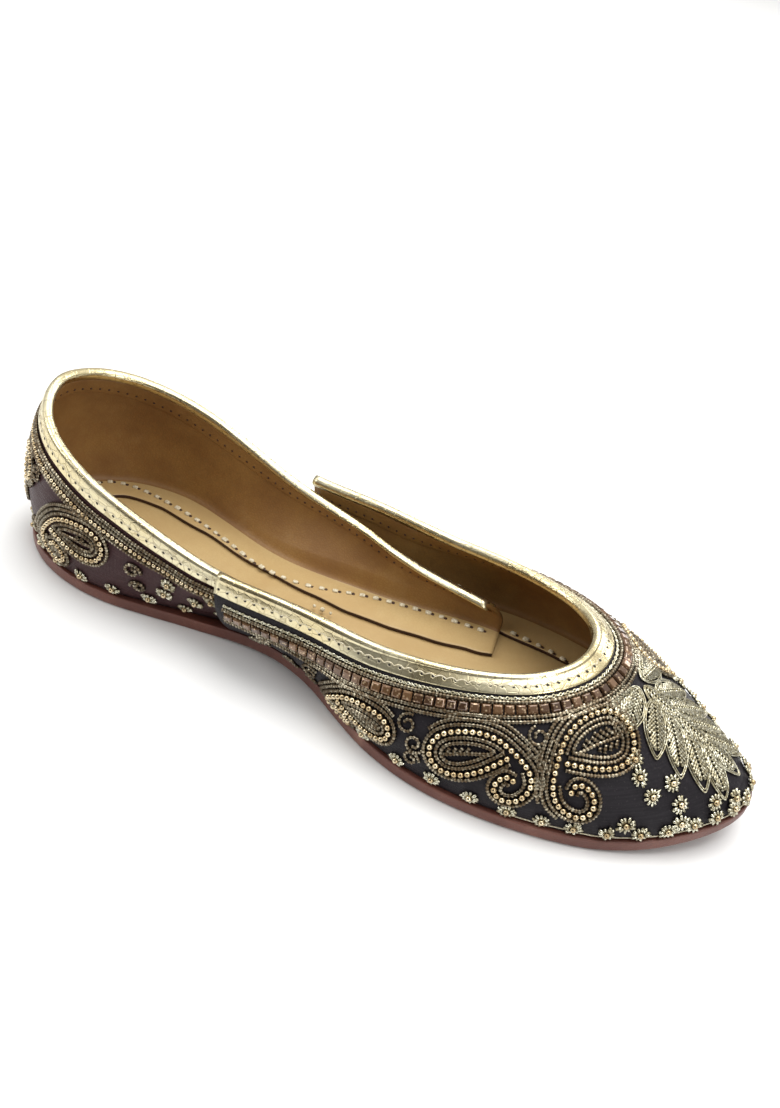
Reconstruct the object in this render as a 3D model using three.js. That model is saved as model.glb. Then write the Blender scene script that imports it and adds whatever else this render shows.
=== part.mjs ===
// Mojari shoe: a flat slip-on with a turned-in leather upper on a thin leather sole.
// Millimetres. +X runs from the heel to the toe, +Y to the shoe's left, +Z up from the floor.
// The last is straight: the left and right halves are mirror images.

import * as THREE from 'three';

// Driving sizes.
const LENGTH = 250;
const CENTRE = LENGTH / 2;
const SOLE_THICK = 4.4;
const INSOLE_THICK = 1.2;
const FLANGE_THICK = 1.2;
const FLANGE_ROUND = 0.2;
const FLANGE_STUB = 0.5;
const WALL = 1.8;
const BINDING_THICK = 0.6;
const GAP = 0.3;
const BINDING_OUTER_LEG = 6.8;
const BINDING_INNER_LEG = 3.0;
const WELT_FRONT = 1.3;
const WELT_WAIST = 0.4;
const SOLE_CHAMFER = 0.9;
const TOE_SPRING = 7.6;
const TOE_SPRING_START = 212;
const TOE_SPRING_SOFTEN = 0.25;
const ARCH_LIFT = 2.2;
const ARCH_BACK = 72;
const ARCH_FRONT = 142;

// Heights of the stacked layers above the underside of the sole.
const FOOT_Z = SOLE_THICK + GAP;
const INSOLE_Z = SOLE_THICK + GAP;
const FLANGE_Z = INSOLE_Z + INSOLE_THICK + GAP;

// Inside the vamp's wings the quarter turns inwards, leans in and dips, more towards its front ends.
// Each rate is in millimetres for the first row, or for the first row squared.
const TUCK_RATE = 1.6;
const LEAN_RATE = 0.07;
const DIP_RATE = 0.19;

// Beside and behind the ball the wall's upper control point shares this part of the lower one's belly.
const UPPER_BELLY = 0.5;

// One row for each ray of the wall, from the toe's centre round the left side to the heel's centre.
// footX, footY: the wall's foot. edgeX, edgeY, edgeZ: its top edge, with Z above the sole's underside.
// belly, bellyUp: how far the wall's lower control point stands out from the foot, and above it.
// crown, crownDown: how far the upper control point lies from the edge towards the foot's side,
// and below the edge.
// flange: how far the turned-in leather of the vamp reaches in from the foot.
const RAY_COLUMNS = [
  'footX', 'footY', 'edgeX', 'edgeY', 'edgeZ', 'belly', 'bellyUp', 'crown', 'crownDown', 'flange',
];
const RAYS = [
  [250.0, 0.0, 192.5, 0.0, 41.5, 2.0, 6.0, 29.0, 8.5, 7.0],
  [248.2, 7.0, 192.2, 3.8, 41.4, 2.0, 6.5, 28.0, 8.5, 7.0],
  [243.0, 14.2, 191.0, 8.1, 41.1, 2.2, 8.0, 26.0, 8.2, 7.5],
  [235.0, 21.6, 188.6, 12.4, 40.6, 2.6, 10.0, 22.5, 7.6, 8.5],
  [225.0, 28.4, 184.8, 16.6, 39.8, 3.0, 12.0, 19.5, 7.0, 10.0],
  [211.0, 35.0, 179.2, 20.8, 38.8, 3.6, 13.5, 16.5, 6.4, 11.0],
  [195.0, 39.4, 171.2, 24.5, 37.7, 4.2, 14.0, 13.5, 6.0, 11.5],
  [178.0, 41.8, 161.2, 27.5, 36.5, 4.8, 14.0, 10.5, 6.0, 12.0],
  [161.0, 41.6, 149.8, 29.6, 35.3, 5.4, 13.5, 7.5, 6.4, 12.0],
  [145.0, 38.0, 137.6, 30.7, 34.2, 6.2, 12.5, 5.0, 7.0, 8.0],
  [130.0, 31.8, 125.0, 31.1, 33.3, 7.4, 11.5, 2.4, 8.5, 3.0],
  [116.0, 25.4, 112.5, 31.2, 32.8, 8.8, 10.5, 0.9, 9.5, 3.0],
  [102.0, 21.8, 100.0, 31.3, 32.8, 9.6, 10.0, 0.3, 10.0, 3.0],
  [88.0, 21.2, 87.0, 31.5, 33.6, 9.4, 10.5, 0.4, 10.5, 3.0],
  [73.0, 23.2, 73.0, 31.6, 35.6, 8.2, 11.5, 0.8, 11.0, 3.0],
  [58.0, 26.2, 58.5, 31.3, 38.8, 6.8, 12.5, 1.4, 12.0, 3.0],
  [43.0, 28.4, 44.0, 30.2, 42.8, 5.8, 14.0, 2.2, 13.0, 3.0],
  [29.0, 27.6, 30.5, 27.6, 46.8, 5.0, 15.5, 3.0, 14.0, 3.0],
  [17.0, 23.8, 19.0, 23.0, 50.2, 4.6, 17.0, 3.8, 15.0, 3.0],
  [7.6, 17.0, 10.6, 16.4, 52.8, 4.4, 18.0, 4.4, 16.0, 3.0],
  [1.8, 8.6, 5.6, 8.4, 54.6, 4.2, 18.5, 4.8, 16.5, 3.0],
  [0.0, 0.0, 4.0, 0.0, 55.6, 4.2, 18.5, 5.0, 16.5, 3.0],
];

// Where the quarter's turned-in leather ends. Columns: distance from the heel, and half the open
// width between its two edges.
const SEAM = [
  [0, 9.0],
  [14, 13.5],
  [34, 15.5],
  [56, 12.5],
  [78, 7.0],
  [98, 2.2],
  [108, 0.9],
  [118, 2.6],
  [132, 6.8],
  [148, 12.0],
  [164, 17.0],
  [180, 22.0],
];

// Places along the rays, counted in rows of the table.
const WING_END = 13.2;
const QUARTER_END = 8.2;
const TUCK_START = 16.6;
const TUCK_SOFTEN = 1.2;
const VAMP_FLANGE_START = 7.9;
const VAMP_FLANGE_FULL = 7.2;
const INSOLE_NARROWS_FROM = 6.6;
const INSOLE_NARROWS_TO = 7.9;
const HEEL_FLANGE = 10;
const HEEL_FLANGE_FROM = 16.5;
const HEEL_FLANGE_FULL = 19;
const WAIST_RIM_FROM = 8.5;
const WAIST_RIM_FULL = 11;
const WAIST_RIM_LEAVES = 14;
const WAIST_RIM_TO = 17;
const SIDE_BELLY_FROM = 6;
const SIDE_BELLY_FULL = 12;

// Mesh steps.
const VAMP_STEPS = 72;
const QUARTER_STEPS = 76;
const SOLE_STEPS = 46;
const WALL_STEPS = 6;
const LEG_STEPS = 2;

const LAST_ROW = RAYS.length - 1;

// A smooth step from 0 at a to 1 at b.
function ease(a, b, x) {
  const t = Math.min(Math.max((x - a) / (b - a), 0), 1);
  return t * t * (3 - 2 * t);
}

// One row of a table, mirrored past either end, so curves cross the centre plane squarely.
function cell(index, column) {
  const flips = index < 0 || index > LAST_ROW;
  const row = index < 0 ? -index : index > LAST_ROW ? 2 * LAST_ROW - index : index;
  const value = RAYS[row][column];
  const isSideways = RAY_COLUMNS[column].endsWith('Y');
  return flips && isSideways ? -value : value;
}

// The table's columns at any place between its rows, on a Catmull-Rom curve.
function ray(place) {
  const at = Math.min(Math.floor(place), LAST_ROW - 1);
  const t = place - at;
  const out = {};
  RAY_COLUMNS.forEach((name, column) => {
    const a = cell(at - 1, column);
    const b = cell(at, column);
    const c = cell(at + 1, column);
    const d = cell(at + 2, column);
    const slopeB = (c - a) / 2;
    const slopeC = (d - b) / 2;
    const t2 = t * t;
    const t3 = t2 * t;
    out[name] = b * (2 * t3 - 3 * t2 + 1) + slopeB * (t3 - 2 * t2 + t)
      + c * (3 * t2 - 2 * t3) + slopeC * (t3 - t2);
  });
  return out;
}

// Half the open width between the quarter's edges at a distance from the heel.
// Between rows it goes halfway between a straight line and a smooth step.
function seamOpen(along) {
  const next = SEAM.findIndex(([rowAlong]) => along <= rowAlong);
  if (next < 1) {
    return next === 0 ? SEAM[0][1] : SEAM[SEAM.length - 1][1];
  }
  const [fromX, fromY] = SEAM[next - 1];
  const [toX, toY] = SEAM[next];
  const straight = (along - fromX) / (toX - fromX);
  return fromY + (toY - fromY) * (straight + ease(fromX, toX, along)) / 2;
}

// How far the underside of the sole stands off the floor: a shallow arch and a turned-up toe.
function lift(x) {
  const along = x + CENTRE;
  const middle = (ARCH_BACK + ARCH_FRONT) / 2;
  const arch = along < middle ? ease(ARCH_BACK, middle, along) : 1 - ease(middle, ARCH_FRONT, along);
  const t = Math.max((along - TOE_SPRING_START) / (LENGTH - TOE_SPRING_START), 0);
  return ARCH_LIFT * arch + TOE_SPRING * t * t * (1 + TOE_SPRING_SOFTEN * (1 - t));
}

// A point lifted with the sole under it.
function lifted(point) {
  return new THREE.Vector3(point.x, point.y, point.z + lift(point.x));
}

// The outward direction of the foot's outline, level with the floor.
function outward(place) {
  const step = 0.02;
  const before = ray(Math.max(place - step, 0));
  const after = ray(Math.min(place + step, LAST_ROW));
  const out = new THREE.Vector3(after.footY - before.footY, before.footX - after.footX, 0);
  if (place <= step) {
    out.y = 0;
  }
  if (place >= LAST_ROW - step) {
    out.y = 0;
  }
  return out.normalize();
}

// A point on the last's skin. up is 0 at the wall's foot and 1 at its top edge.
function skin(place, up) {
  const row = ray(place);
  const side = outward(place);
  const foot = new THREE.Vector3(row.footX - CENTRE, row.footY, FOOT_Z);
  const edge = new THREE.Vector3(row.edgeX - CENTRE, row.edgeY, row.edgeZ);
  const reach = new THREE.Vector3(foot.x - edge.x, foot.y - edge.y, 0);
  const towards = reach.length() > row.crown ? reach.normalize() : reach.divideScalar(row.crown);
  const upper = edge.clone().addScaledVector(towards, row.crown);
  upper.addScaledVector(side, row.belly * UPPER_BELLY * ease(SIDE_BELLY_FROM, SIDE_BELLY_FULL, place));
  upper.z -= row.crownDown;
  const lower = foot.clone().addScaledVector(side, row.belly);
  lower.z += row.bellyUp;
  const down = 1 - up;
  const point = foot.multiplyScalar(down * down * down);
  point.addScaledVector(lower, 3 * down * down * up);
  point.addScaledVector(upper, 3 * down * up * up);
  point.addScaledVector(edge, up * up * up);
  return point;
}

// The skin's outward normal.
function normal(place, up) {
  const step = 0.01;
  const along = skin(Math.min(place + step, LAST_ROW), up).sub(skin(Math.max(place - step, 0), up));
  if (place <= step || place >= LAST_ROW - step) {
    along.x = 0;
    along.z = 0;
  }
  const rising = skin(place, up + step).sub(skin(place, up - step));
  return along.cross(rising).normalize();
}

// A point off the skin: out is positive outside and negative inside.
function offSkin(place, up, out) {
  return skin(place, up).addScaledVector(normal(place, up), out);
}

// The value of up that lies a given length below a start on the skin.
function below(place, start, length) {
  if (length <= 0) {
    const step = 0.01;
    const rate = skin(place, start).distanceTo(skin(place, start - step)) / step;
    return start - length / rate;
  }
  let up = start;
  let left = length;
  const step = 0.02;
  while (left > 0 && up > step) {
    const piece = skin(place, up).distanceTo(skin(place, up - step));
    if (piece >= left) {
      return up - step * left / piece;
    }
    left -= piece;
    up -= step;
  }
  return up;
}

// A closed body from rings of the same number of points, with a flat cap at each end.
function sweep(rings, name, material) {
  const count = rings[0].length;
  const positions = [];
  rings.forEach((ring) => ring.forEach((p) => positions.push(p.x, p.y, p.z)));
  const index = [];
  for (let i = 0; i < rings.length - 1; i += 1) {
    for (let j = 0; j < count; j += 1) {
      const k = (j + 1) % count;
      const a = i * count + j;
      const b = i * count + k;
      const c = a + count;
      const d = b + count;
      index.push(a, c, b, b, c, d);
    }
  }
  return closed(positions, index, [rings[0], rings[rings.length - 1]], name, material);
}

// Caps the first and last rings and turns the body so its faces look outwards.
function closed(positions, index, ends, name, material) {
  const lastStart = positions.length / 3 - ends[1].length;
  ends.forEach((ring, which) => {
    const flat = flatten(ring);
    THREE.ShapeUtils.triangulateShape(flat, []).forEach(([a, b, c]) => {
      const start = which === 0 ? 0 : lastStart;
      if (which === 0) {
        index.push(start + a, start + b, start + c);
      } else {
        index.push(start + a, start + c, start + b);
      }
    });
  });
  return solid(positions, index, name, material);
}

// A ring drawn in its own plane, for filling it with triangles.
function flatten(ring) {
  const middle = new THREE.Vector3();
  ring.forEach((p) => middle.add(p));
  middle.divideScalar(ring.length);
  const facing = new THREE.Vector3();
  ring.forEach((p, i) => {
    const q = ring[(i + 1) % ring.length];
    facing.add(p.clone().sub(middle).cross(q.clone().sub(middle)));
  });
  facing.normalize();
  const across = ring[0].clone().sub(middle);
  across.addScaledVector(facing, -across.dot(facing)).normalize();
  const upwards = facing.clone().cross(across);
  return ring.map((p) => {
    const d = p.clone().sub(middle);
    return new THREE.Vector2(d.dot(across), d.dot(upwards));
  });
}

// A mesh with its faces outwards, whichever way its rings ran.
function solid(positions, index, name, material) {
  let volume = 0;
  const corner = (i) => new THREE.Vector3(positions[3 * i], positions[3 * i + 1], positions[3 * i + 2]);
  for (let i = 0; i < index.length; i += 3) {
    const a = corner(index[i]);
    volume += a.dot(corner(index[i + 1]).cross(corner(index[i + 2])));
  }
  const outwards = [];
  for (let i = 0; i < index.length; i += 3) {
    const turn = volume < 0;
    outwards.push(index[i], index[i + (turn ? 2 : 1)], index[i + (turn ? 1 : 2)]);
  }
  const geometry = new THREE.BufferGeometry();
  geometry.setAttribute('position', new THREE.Float32BufferAttribute(positions, 3));
  geometry.setIndex(outwards);
  geometry.computeVertexNormals();
  const mesh = new THREE.Mesh(geometry, material);
  mesh.name = name;
  return mesh;
}

// Mirrors a point to the shoe's right side.
function mirrored(point) {
  return new THREE.Vector3(point.x, -point.y, point.z);
}

// Rings over a range of rays that crosses the centre plane at one end of the table.
// The left half is made first and the right half is its mirror image.
function bothSides(fromPlace, toPlace, steps, ringAt) {
  const half = steps / 2;
  const left = [];
  for (let i = 0; i <= half; i += 1) {
    left.push(ringAt(fromPlace + (toPlace - fromPlace) * i / half));
  }
  const right = left.slice(0, -1).reverse().map((ring) => ring.map(mirrored));
  return [...left, ...right];
}

// How many rows a place lies in front of where the quarter starts to turn inwards.
function rowsTucked(place) {
  return Math.max(TUCK_START - place, 0);
}

// How far the quarter's outer face lies inside the last's skin at the wall's foot.
function tuck(place) {
  const rows = rowsTucked(place);
  return TUCK_RATE * rows * rows / (rows + TUCK_SOFTEN);
}

// The quarter's inset at any height: its front ends lean in towards the foot.
function quarterInset(place) {
  const lean = LEAN_RATE * rowsTucked(place) ** 2;
  return (up) => tuck(place) + lean * up * up;
}

// The vamp's outer face is the last's skin itself.
const vampInset = () => 0;

// How far the quarter's top edge dips below the skin's top edge inside the vamp's wing.
function dip(place) {
  return DIP_RATE * rowsTucked(place) ** 2;
}

// The upper's section at one ray: wall, top edge, lining side and turned-in flange.
// flangeReach is how far the flange reaches in from the wall's inner face.
function upperRing(place, topUp, inset, flangeReach) {
  const ring = [];
  const side = outward(place);
  for (let i = 0; i <= WALL_STEPS; i += 1) {
    const up = topUp * i / WALL_STEPS;
    ring.push(offSkin(place, up, -inset(up)));
  }
  ring[0].z = FOOT_Z;
  for (let i = WALL_STEPS; i >= 1; i -= 1) {
    const up = topUp * i / WALL_STEPS;
    ring.push(offSkin(place, up, -inset(up) - WALL));
  }
  const at = (up, inwards, z) => {
    const point = offSkin(place, up, -inset(up) - WALL).addScaledVector(side, -inwards);
    point.z = z;
    return point;
  };
  const flangeUp = below(place, 0, FOOT_Z - FLANGE_Z);
  ring.push(at(flangeUp, FLANGE_ROUND, FLANGE_Z + FLANGE_THICK));
  ring.push(at(flangeUp, flangeReach, FLANGE_Z + FLANGE_THICK));
  ring.push(at(flangeUp, flangeReach, FLANGE_Z));
  ring.push(at(flangeUp, 0, FLANGE_Z));
  ring.push(at(0, 0, FOOT_Z));
  return ring.map(lifted);
}

// The binding's section: a folded strip that holds a top edge between two legs.
function bindingRing(place, topUp, inset) {
  const outer = GAP + BINDING_THICK;
  const legs = (leg, out) => {
    const up = below(place, topUp, leg);
    return offSkin(place, up, out - inset(up));
  };
  const ring = [];
  for (let i = 0; i <= LEG_STEPS; i += 1) {
    ring.push(legs(BINDING_OUTER_LEG * (1 - i / LEG_STEPS), outer));
  }
  ring.push(legs(-outer, GAP));
  ring.push(legs(-outer, -WALL - GAP));
  ring.push(legs(0, -WALL - outer));
  ring.push(legs(BINDING_INNER_LEG, -WALL - outer));
  ring.push(legs(BINDING_INNER_LEG, -WALL - GAP));
  ring.push(legs(-GAP, -WALL - GAP));
  ring.push(legs(-GAP, GAP));
  for (let i = 1; i <= LEG_STEPS; i += 1) {
    ring.push(legs(BINDING_OUTER_LEG * i / LEG_STEPS, GAP));
  }
  return ring.map(lifted);
}

// The vamp's flange narrows to a stub behind the quarter's front ends.
function vampFlange(place) {
  const full = ray(place).flange;
  return FLANGE_STUB + (full - FLANGE_STUB) * (1 - ease(VAMP_FLANGE_FULL, VAMP_FLANGE_START, place));
}

// The quarter's flange reaches in to its seam line.
function quarterFlange(place) {
  const row = ray(place);
  const wallIn = tuck(place) + WALL;
  const toSeam = row.footY - wallIn - seamOpen(row.footX);
  const heelShare = ease(HEEL_FLANGE_FROM, HEEL_FLANGE_FULL, place);
  return toSeam * (1 - heelShare) + HEEL_FLANGE * heelShare;
}

function quarterTop(place) {
  return below(place, 1, dip(place));
}

// The outline of a flat layer: the wall's foot moved in by a width that may change along it.
function outline(moveIn) {
  const points = [];
  for (let i = 0; i <= SOLE_STEPS; i += 1) {
    const place = LAST_ROW * i / SOLE_STEPS;
    const row = ray(place);
    const point = new THREE.Vector3(row.footX - CENTRE, row.footY, 0);
    point.addScaledVector(outward(place), -moveIn(place));
    if (i === 0 || i === SOLE_STEPS) {
      point.y = 0;
    }
    points.push(point);
  }
  return points;
}

// A flat layer that follows the lift: closed rows across the shoe, joined from toe to heel.
// levels lists heights from the top down, each with its own half outline.
function layer(levels, name, material) {
  const positions = [];
  const index = [];
  const count = levels.length;
  const push = (point, z) => {
    const raised = lifted(new THREE.Vector3(point.x, point.y, z));
    positions.push(raised.x, raised.y, raised.z);
    return positions.length / 3 - 1;
  };
  const left = levels.map(({ points, z }) => points.map((p) => push(p, z)));
  const right = levels.map(({ points, z }, level) => points.map((p, i) => {
    const onCentre = i === 0 || i === points.length - 1;
    return onCentre ? left[level][i] : push(mirrored(p), z);
  }));
  const quad = (a, b, c, d) => {
    if (a !== b && b !== c && a !== c) {
      index.push(a, b, c);
    }
    if (a !== c && c !== d && a !== d) {
      index.push(a, c, d);
    }
  };
  for (let i = 0; i < SOLE_STEPS; i += 1) {
    const j = i + 1;
    const bottom = count - 1;
    quad(left[0][i], left[0][j], right[0][j], right[0][i]);
    quad(right[bottom][i], right[bottom][j], left[bottom][j], left[bottom][i]);
    for (let k = 0; k < bottom; k += 1) {
      quad(left[k][i], left[k + 1][i], left[k + 1][j], left[k][j]);
      quad(right[k][j], right[k + 1][j], right[k + 1][i], right[k][i]);
    }
  }
  return solid(positions, index, name, material);
}

const satinVamp = new THREE.MeshStandardMaterial({ color: 0x3a302f, roughness: 0.6 });
const satinQuarter = new THREE.MeshStandardMaterial({ color: 0x4a3433, roughness: 0.6 });
const goldLeather = new THREE.MeshStandardMaterial({ color: 0xc9b98a, roughness: 0.35, metalness: 0.8 });
const tanLeather = new THREE.MeshStandardMaterial({ color: 0xc6a66b, roughness: 0.6 });
const soleLeather = new THREE.MeshStandardMaterial({ color: 0x7a4a3c, roughness: 0.6 });

// The sole's rim stands proud of the wall's foot, less at the waist.
function welt(place) {
  const waist = ease(WAIST_RIM_FROM, WAIST_RIM_FULL, place)
    * (1 - ease(WAIST_RIM_LEAVES, WAIST_RIM_TO, place));
  return WELT_FRONT + (WELT_WAIST - WELT_FRONT) * waist;
}

// The insole stops short of whichever wall stands beside it.
function insoleInset(place) {
  const beside = tuck(place) * ease(INSOLE_NARROWS_FROM, INSOLE_NARROWS_TO, place);
  return beside + WALL + GAP;
}

const outsole = layer([
  { points: outline((place) => -welt(place)), z: SOLE_THICK },
  { points: outline((place) => -welt(place)), z: SOLE_CHAMFER },
  { points: outline((place) => SOLE_CHAMFER - welt(place)), z: 0 },
], 'outsole', soleLeather);

const insole = layer([
  { points: outline(insoleInset), z: INSOLE_Z + INSOLE_THICK },
  { points: outline(insoleInset), z: INSOLE_Z },
], 'insole', tanLeather);

const vamp = sweep(
  bothSides(WING_END, 0, VAMP_STEPS, (place) => upperRing(place, 1, vampInset, vampFlange(place))),
  'vamp',
  satinVamp,
);

const quarter = sweep(
  bothSides(QUARTER_END, LAST_ROW, QUARTER_STEPS, (place) => (
    upperRing(place, quarterTop(place), quarterInset(place), quarterFlange(place)))),
  'quarter',
  satinQuarter,
);

const vampBinding = sweep(
  bothSides(WING_END, 0, VAMP_STEPS, (place) => bindingRing(place, 1, vampInset)),
  'vamp_binding',
  goldLeather,
);

const quarterBinding = sweep(
  bothSides(QUARTER_END, LAST_ROW, QUARTER_STEPS, (place) => (
    bindingRing(place, quarterTop(place), quarterInset(place)))),
  'quarter_binding',
  goldLeather,
);

const mojari = new THREE.Group();
mojari.name = 'mojari';
mojari.add(outsole, insole, vamp, quarter, vampBinding, quarterBinding);

export default mojari;
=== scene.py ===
# %% [markdown]
# # A mojari, made in cells
# A mojari is a flat slip-on shoe: a thin leather sole, a satin-covered vamp over the toes, a quarter round
# the heel, gilt leather bound over both top edges, and raised metal-thread embroidery. The imported frame
# holds its plain solids at the right size. Here each solid gets a finer piece laid exactly where it lies,
# so the looks can never drift away from the frame's shape.

# %% Load the frame
import math

import bmesh
import bpy
import numpy as np
from mathutils import Matrix, Vector
from mathutils.bvhtree import BVHTree


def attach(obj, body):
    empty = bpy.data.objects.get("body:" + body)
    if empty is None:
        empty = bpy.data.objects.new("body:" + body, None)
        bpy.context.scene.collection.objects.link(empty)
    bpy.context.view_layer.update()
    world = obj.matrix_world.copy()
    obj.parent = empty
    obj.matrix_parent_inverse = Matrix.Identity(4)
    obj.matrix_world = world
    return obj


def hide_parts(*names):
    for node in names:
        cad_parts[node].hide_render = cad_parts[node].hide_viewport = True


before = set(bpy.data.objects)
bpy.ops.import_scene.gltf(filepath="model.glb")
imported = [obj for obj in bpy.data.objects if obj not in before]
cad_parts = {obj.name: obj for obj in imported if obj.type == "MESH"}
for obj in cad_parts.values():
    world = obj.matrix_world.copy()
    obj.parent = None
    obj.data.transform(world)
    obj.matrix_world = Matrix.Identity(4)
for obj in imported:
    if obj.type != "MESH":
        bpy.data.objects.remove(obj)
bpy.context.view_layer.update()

print("frame nodes:", sorted(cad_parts))

# %% [markdown]
# ## The last
# A shoemaker stretches the leather over a last. Ours is a short table: each row is one line drawn up the
# last from the sole's edge to the top line, in millimetres. A curve through the rows gives the skin
# between them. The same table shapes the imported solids, so pieces built on it fit without any adjusting.

# %% The last's table
MM = 0.001
LENGTH, CENTRE = 250.0, 125.0
SOLE, GAP, WALL = 4.4, 0.3, 1.8
FOOT_Z = SOLE + GAP
FLANGE_Z = FOOT_Z + 1.2 + GAP
FLANGE_THICK = 1.2

# footX, footY, edgeX, edgeY, edgeZ, belly, bellyUp, crown, crownDown, flange
LAST = np.array([
    [250.0, 0.0, 192.5, 0.0, 41.5, 2.0, 6.0, 29.0, 8.5, 7.0],
    [248.2, 7.0, 192.2, 3.8, 41.4, 2.0, 6.5, 28.0, 8.5, 7.0],
    [243.0, 14.2, 191.0, 8.1, 41.1, 2.2, 8.0, 26.0, 8.2, 7.5],
    [235.0, 21.6, 188.6, 12.4, 40.6, 2.6, 10.0, 22.5, 7.6, 8.5],
    [225.0, 28.4, 184.8, 16.6, 39.8, 3.0, 12.0, 19.5, 7.0, 10.0],
    [211.0, 35.0, 179.2, 20.8, 38.8, 3.6, 13.5, 16.5, 6.4, 11.0],
    [195.0, 39.4, 171.2, 24.5, 37.7, 4.2, 14.0, 13.5, 6.0, 11.5],
    [178.0, 41.8, 161.2, 27.5, 36.5, 4.8, 14.0, 10.5, 6.0, 12.0],
    [161.0, 41.6, 149.8, 29.6, 35.3, 5.4, 13.5, 7.5, 6.4, 12.0],
    [145.0, 38.0, 137.6, 30.7, 34.2, 6.2, 12.5, 5.0, 7.0, 8.0],
    [130.0, 31.8, 125.0, 31.1, 33.3, 7.4, 11.5, 2.4, 8.5, 3.0],
    [116.0, 25.4, 112.5, 31.2, 32.8, 8.8, 10.5, 0.9, 9.5, 3.0],
    [102.0, 21.8, 100.0, 31.3, 32.8, 9.6, 10.0, 0.3, 10.0, 3.0],
    [88.0, 21.2, 87.0, 31.5, 33.6, 9.4, 10.5, 0.4, 10.5, 3.0],
    [73.0, 23.2, 73.0, 31.6, 35.6, 8.2, 11.5, 0.8, 11.0, 3.0],
    [58.0, 26.2, 58.5, 31.3, 38.8, 6.8, 12.5, 1.4, 12.0, 3.0],
    [43.0, 28.4, 44.0, 30.2, 42.8, 5.8, 14.0, 2.2, 13.0, 3.0],
    [29.0, 27.6, 30.5, 27.6, 46.8, 5.0, 15.5, 3.0, 14.0, 3.0],
    [17.0, 23.8, 19.0, 23.0, 50.2, 4.6, 17.0, 3.8, 15.0, 3.0],
    [7.6, 17.0, 10.6, 16.4, 52.8, 4.4, 18.0, 4.4, 16.0, 3.0],
    [1.8, 8.6, 5.6, 8.4, 54.6, 4.2, 18.5, 4.8, 16.5, 3.0],
    [0.0, 0.0, 4.0, 0.0, 55.6, 4.2, 18.5, 5.0, 16.5, 3.0],
])
HEEL = len(LAST) - 1.0
SIDEWAYS = np.array([1, -1, 1, -1, 1, 1, 1, 1, 1, 1])
TABLE = np.vstack([LAST[2:0:-1] * SIDEWAYS, LAST, LAST[-2:-4:-1] * SIDEWAYS])


def ease(a, b, x):
    """A smooth step from 0 at a to 1 at b."""
    t = np.clip((x - a) / (b - a), 0, 1)
    return t * t * (3 - 2 * t)


def ray(place):
    """The table's columns at any place, 0 at the toe and 21 at the heel."""
    place = np.abs(np.asarray(place, float))
    row = np.minimum(np.floor(place).astype(int), len(LAST) - 2)
    t = (place - row)[..., None]
    a, b, c, d = (TABLE[row + 1 + k] for k in range(4))
    slope_b, slope_c = (c - a) / 2, (d - b) / 2
    return (b * (2 * t**3 - 3 * t**2 + 1) + slope_b * (t**3 - 2 * t**2 + t)
            + c * (3 * t**2 - 2 * t**3) + slope_c * (t**3 - t**2))


print("last:", len(LAST), "rays a side")

# %% [markdown]
# ## The skin of the last
# Each ray is a Bezier curve from the sole's edge up to the top line. Places are signed: positive is the
# shoe's left side and negative its right, and one function serves both by mirroring Y. The sole also lifts
# a little at the arch and the toe, and everything above it lifts along.

# %% Skin, lift and normals


def outward(place):
    """The level direction out of the sole's outline, on the left side."""
    place = np.abs(np.asarray(place, float))
    after, before = ray(np.minimum(place + 0.02, HEEL)), ray(np.maximum(place - 0.02, 0))
    out = np.stack([after[..., 1] - before[..., 1], before[..., 0] - after[..., 0], 0 * place], -1)
    out[..., 1] = np.where((place <= 0.02) | (place >= HEEL - 0.02), 0, out[..., 1])
    return out / np.linalg.norm(out, axis=-1, keepdims=True)


def skin(place, up):
    """Points on the last's skin in mm; up is 0 at the sole and 1 at the top line."""
    place, up = np.broadcast_arrays(np.asarray(place, float), np.asarray(up, float))
    side = np.where(place < 0, -1.0, 1.0)
    place = np.abs(place)
    row, out = ray(place), outward(place)
    foot = np.stack([row[..., 0] - CENTRE, row[..., 1], FOOT_Z + 0 * place], -1)
    edge = np.stack([row[..., 2] - CENTRE, row[..., 3], row[..., 4]], -1)
    reach = (foot - edge) * [1, 1, 0]
    length = np.linalg.norm(reach, axis=-1)
    crown = row[..., 7]
    upper = edge + reach / np.maximum(length, crown)[..., None] * crown[..., None]
    upper = upper + out * (row[..., 5] * 0.5 * ease(6, 12, place))[..., None]
    upper[..., 2] -= row[..., 8]
    lower = foot + out * row[..., 5][..., None]
    lower[..., 2] += row[..., 6]
    u = up[..., None]
    points = foot * (1 - u) ** 3 + lower * 3 * (1 - u) ** 2 * u + upper * 3 * (1 - u) * u**2 + edge * u**3
    points[..., 1] *= side
    return points


def lift(x):
    """How far the sole stands off the floor at x: a shallow arch and a turned-up toe."""
    along = x + CENTRE
    arch = np.where(along < 107, ease(72, 107, along), 1 - ease(107, 142, along))
    t = np.maximum((along - 212) / (LENGTH - 212), 0)
    return 2.2 * arch + 7.6 * t * t * (1 + 0.25 * (1 - t))


def lifted(points):
    points = np.array(points, float)
    points[..., 2] += lift(points[..., 0])
    return points


def skin_normal(place, up):
    """The skin's outward normals."""
    place, up = np.broadcast_arrays(np.asarray(place, float), np.asarray(up, float))
    side, p, h = np.where(place < 0, -1.0, 1.0), np.abs(place), 0.01
    along = skin(np.minimum(p + h, HEEL), up) - skin(np.maximum(p - h, 0), up)
    tip = (p <= h) | (p >= HEEL - h)
    along[..., 0] = np.where(tip, 0, along[..., 0])
    along[..., 2] = np.where(tip, 0, along[..., 2])
    normal = np.cross(along, skin(p, up + h) - skin(p, up - h))
    normal /= np.linalg.norm(normal, axis=-1, keepdims=True)
    normal[..., 1] *= side
    return normal


# %% [markdown]
# ## Walls, measured down from the top line
# Embroiderers and edge-binders work from the top line down, so two "walls" are described the same way:
# the vamp is the skin itself, and the quarter is the skin, except that its front ends turn in behind the
# vamp's wings. `at(place, down, out)` answers with a point so many millimetres below the top line and so
# many off the cloth.

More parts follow.
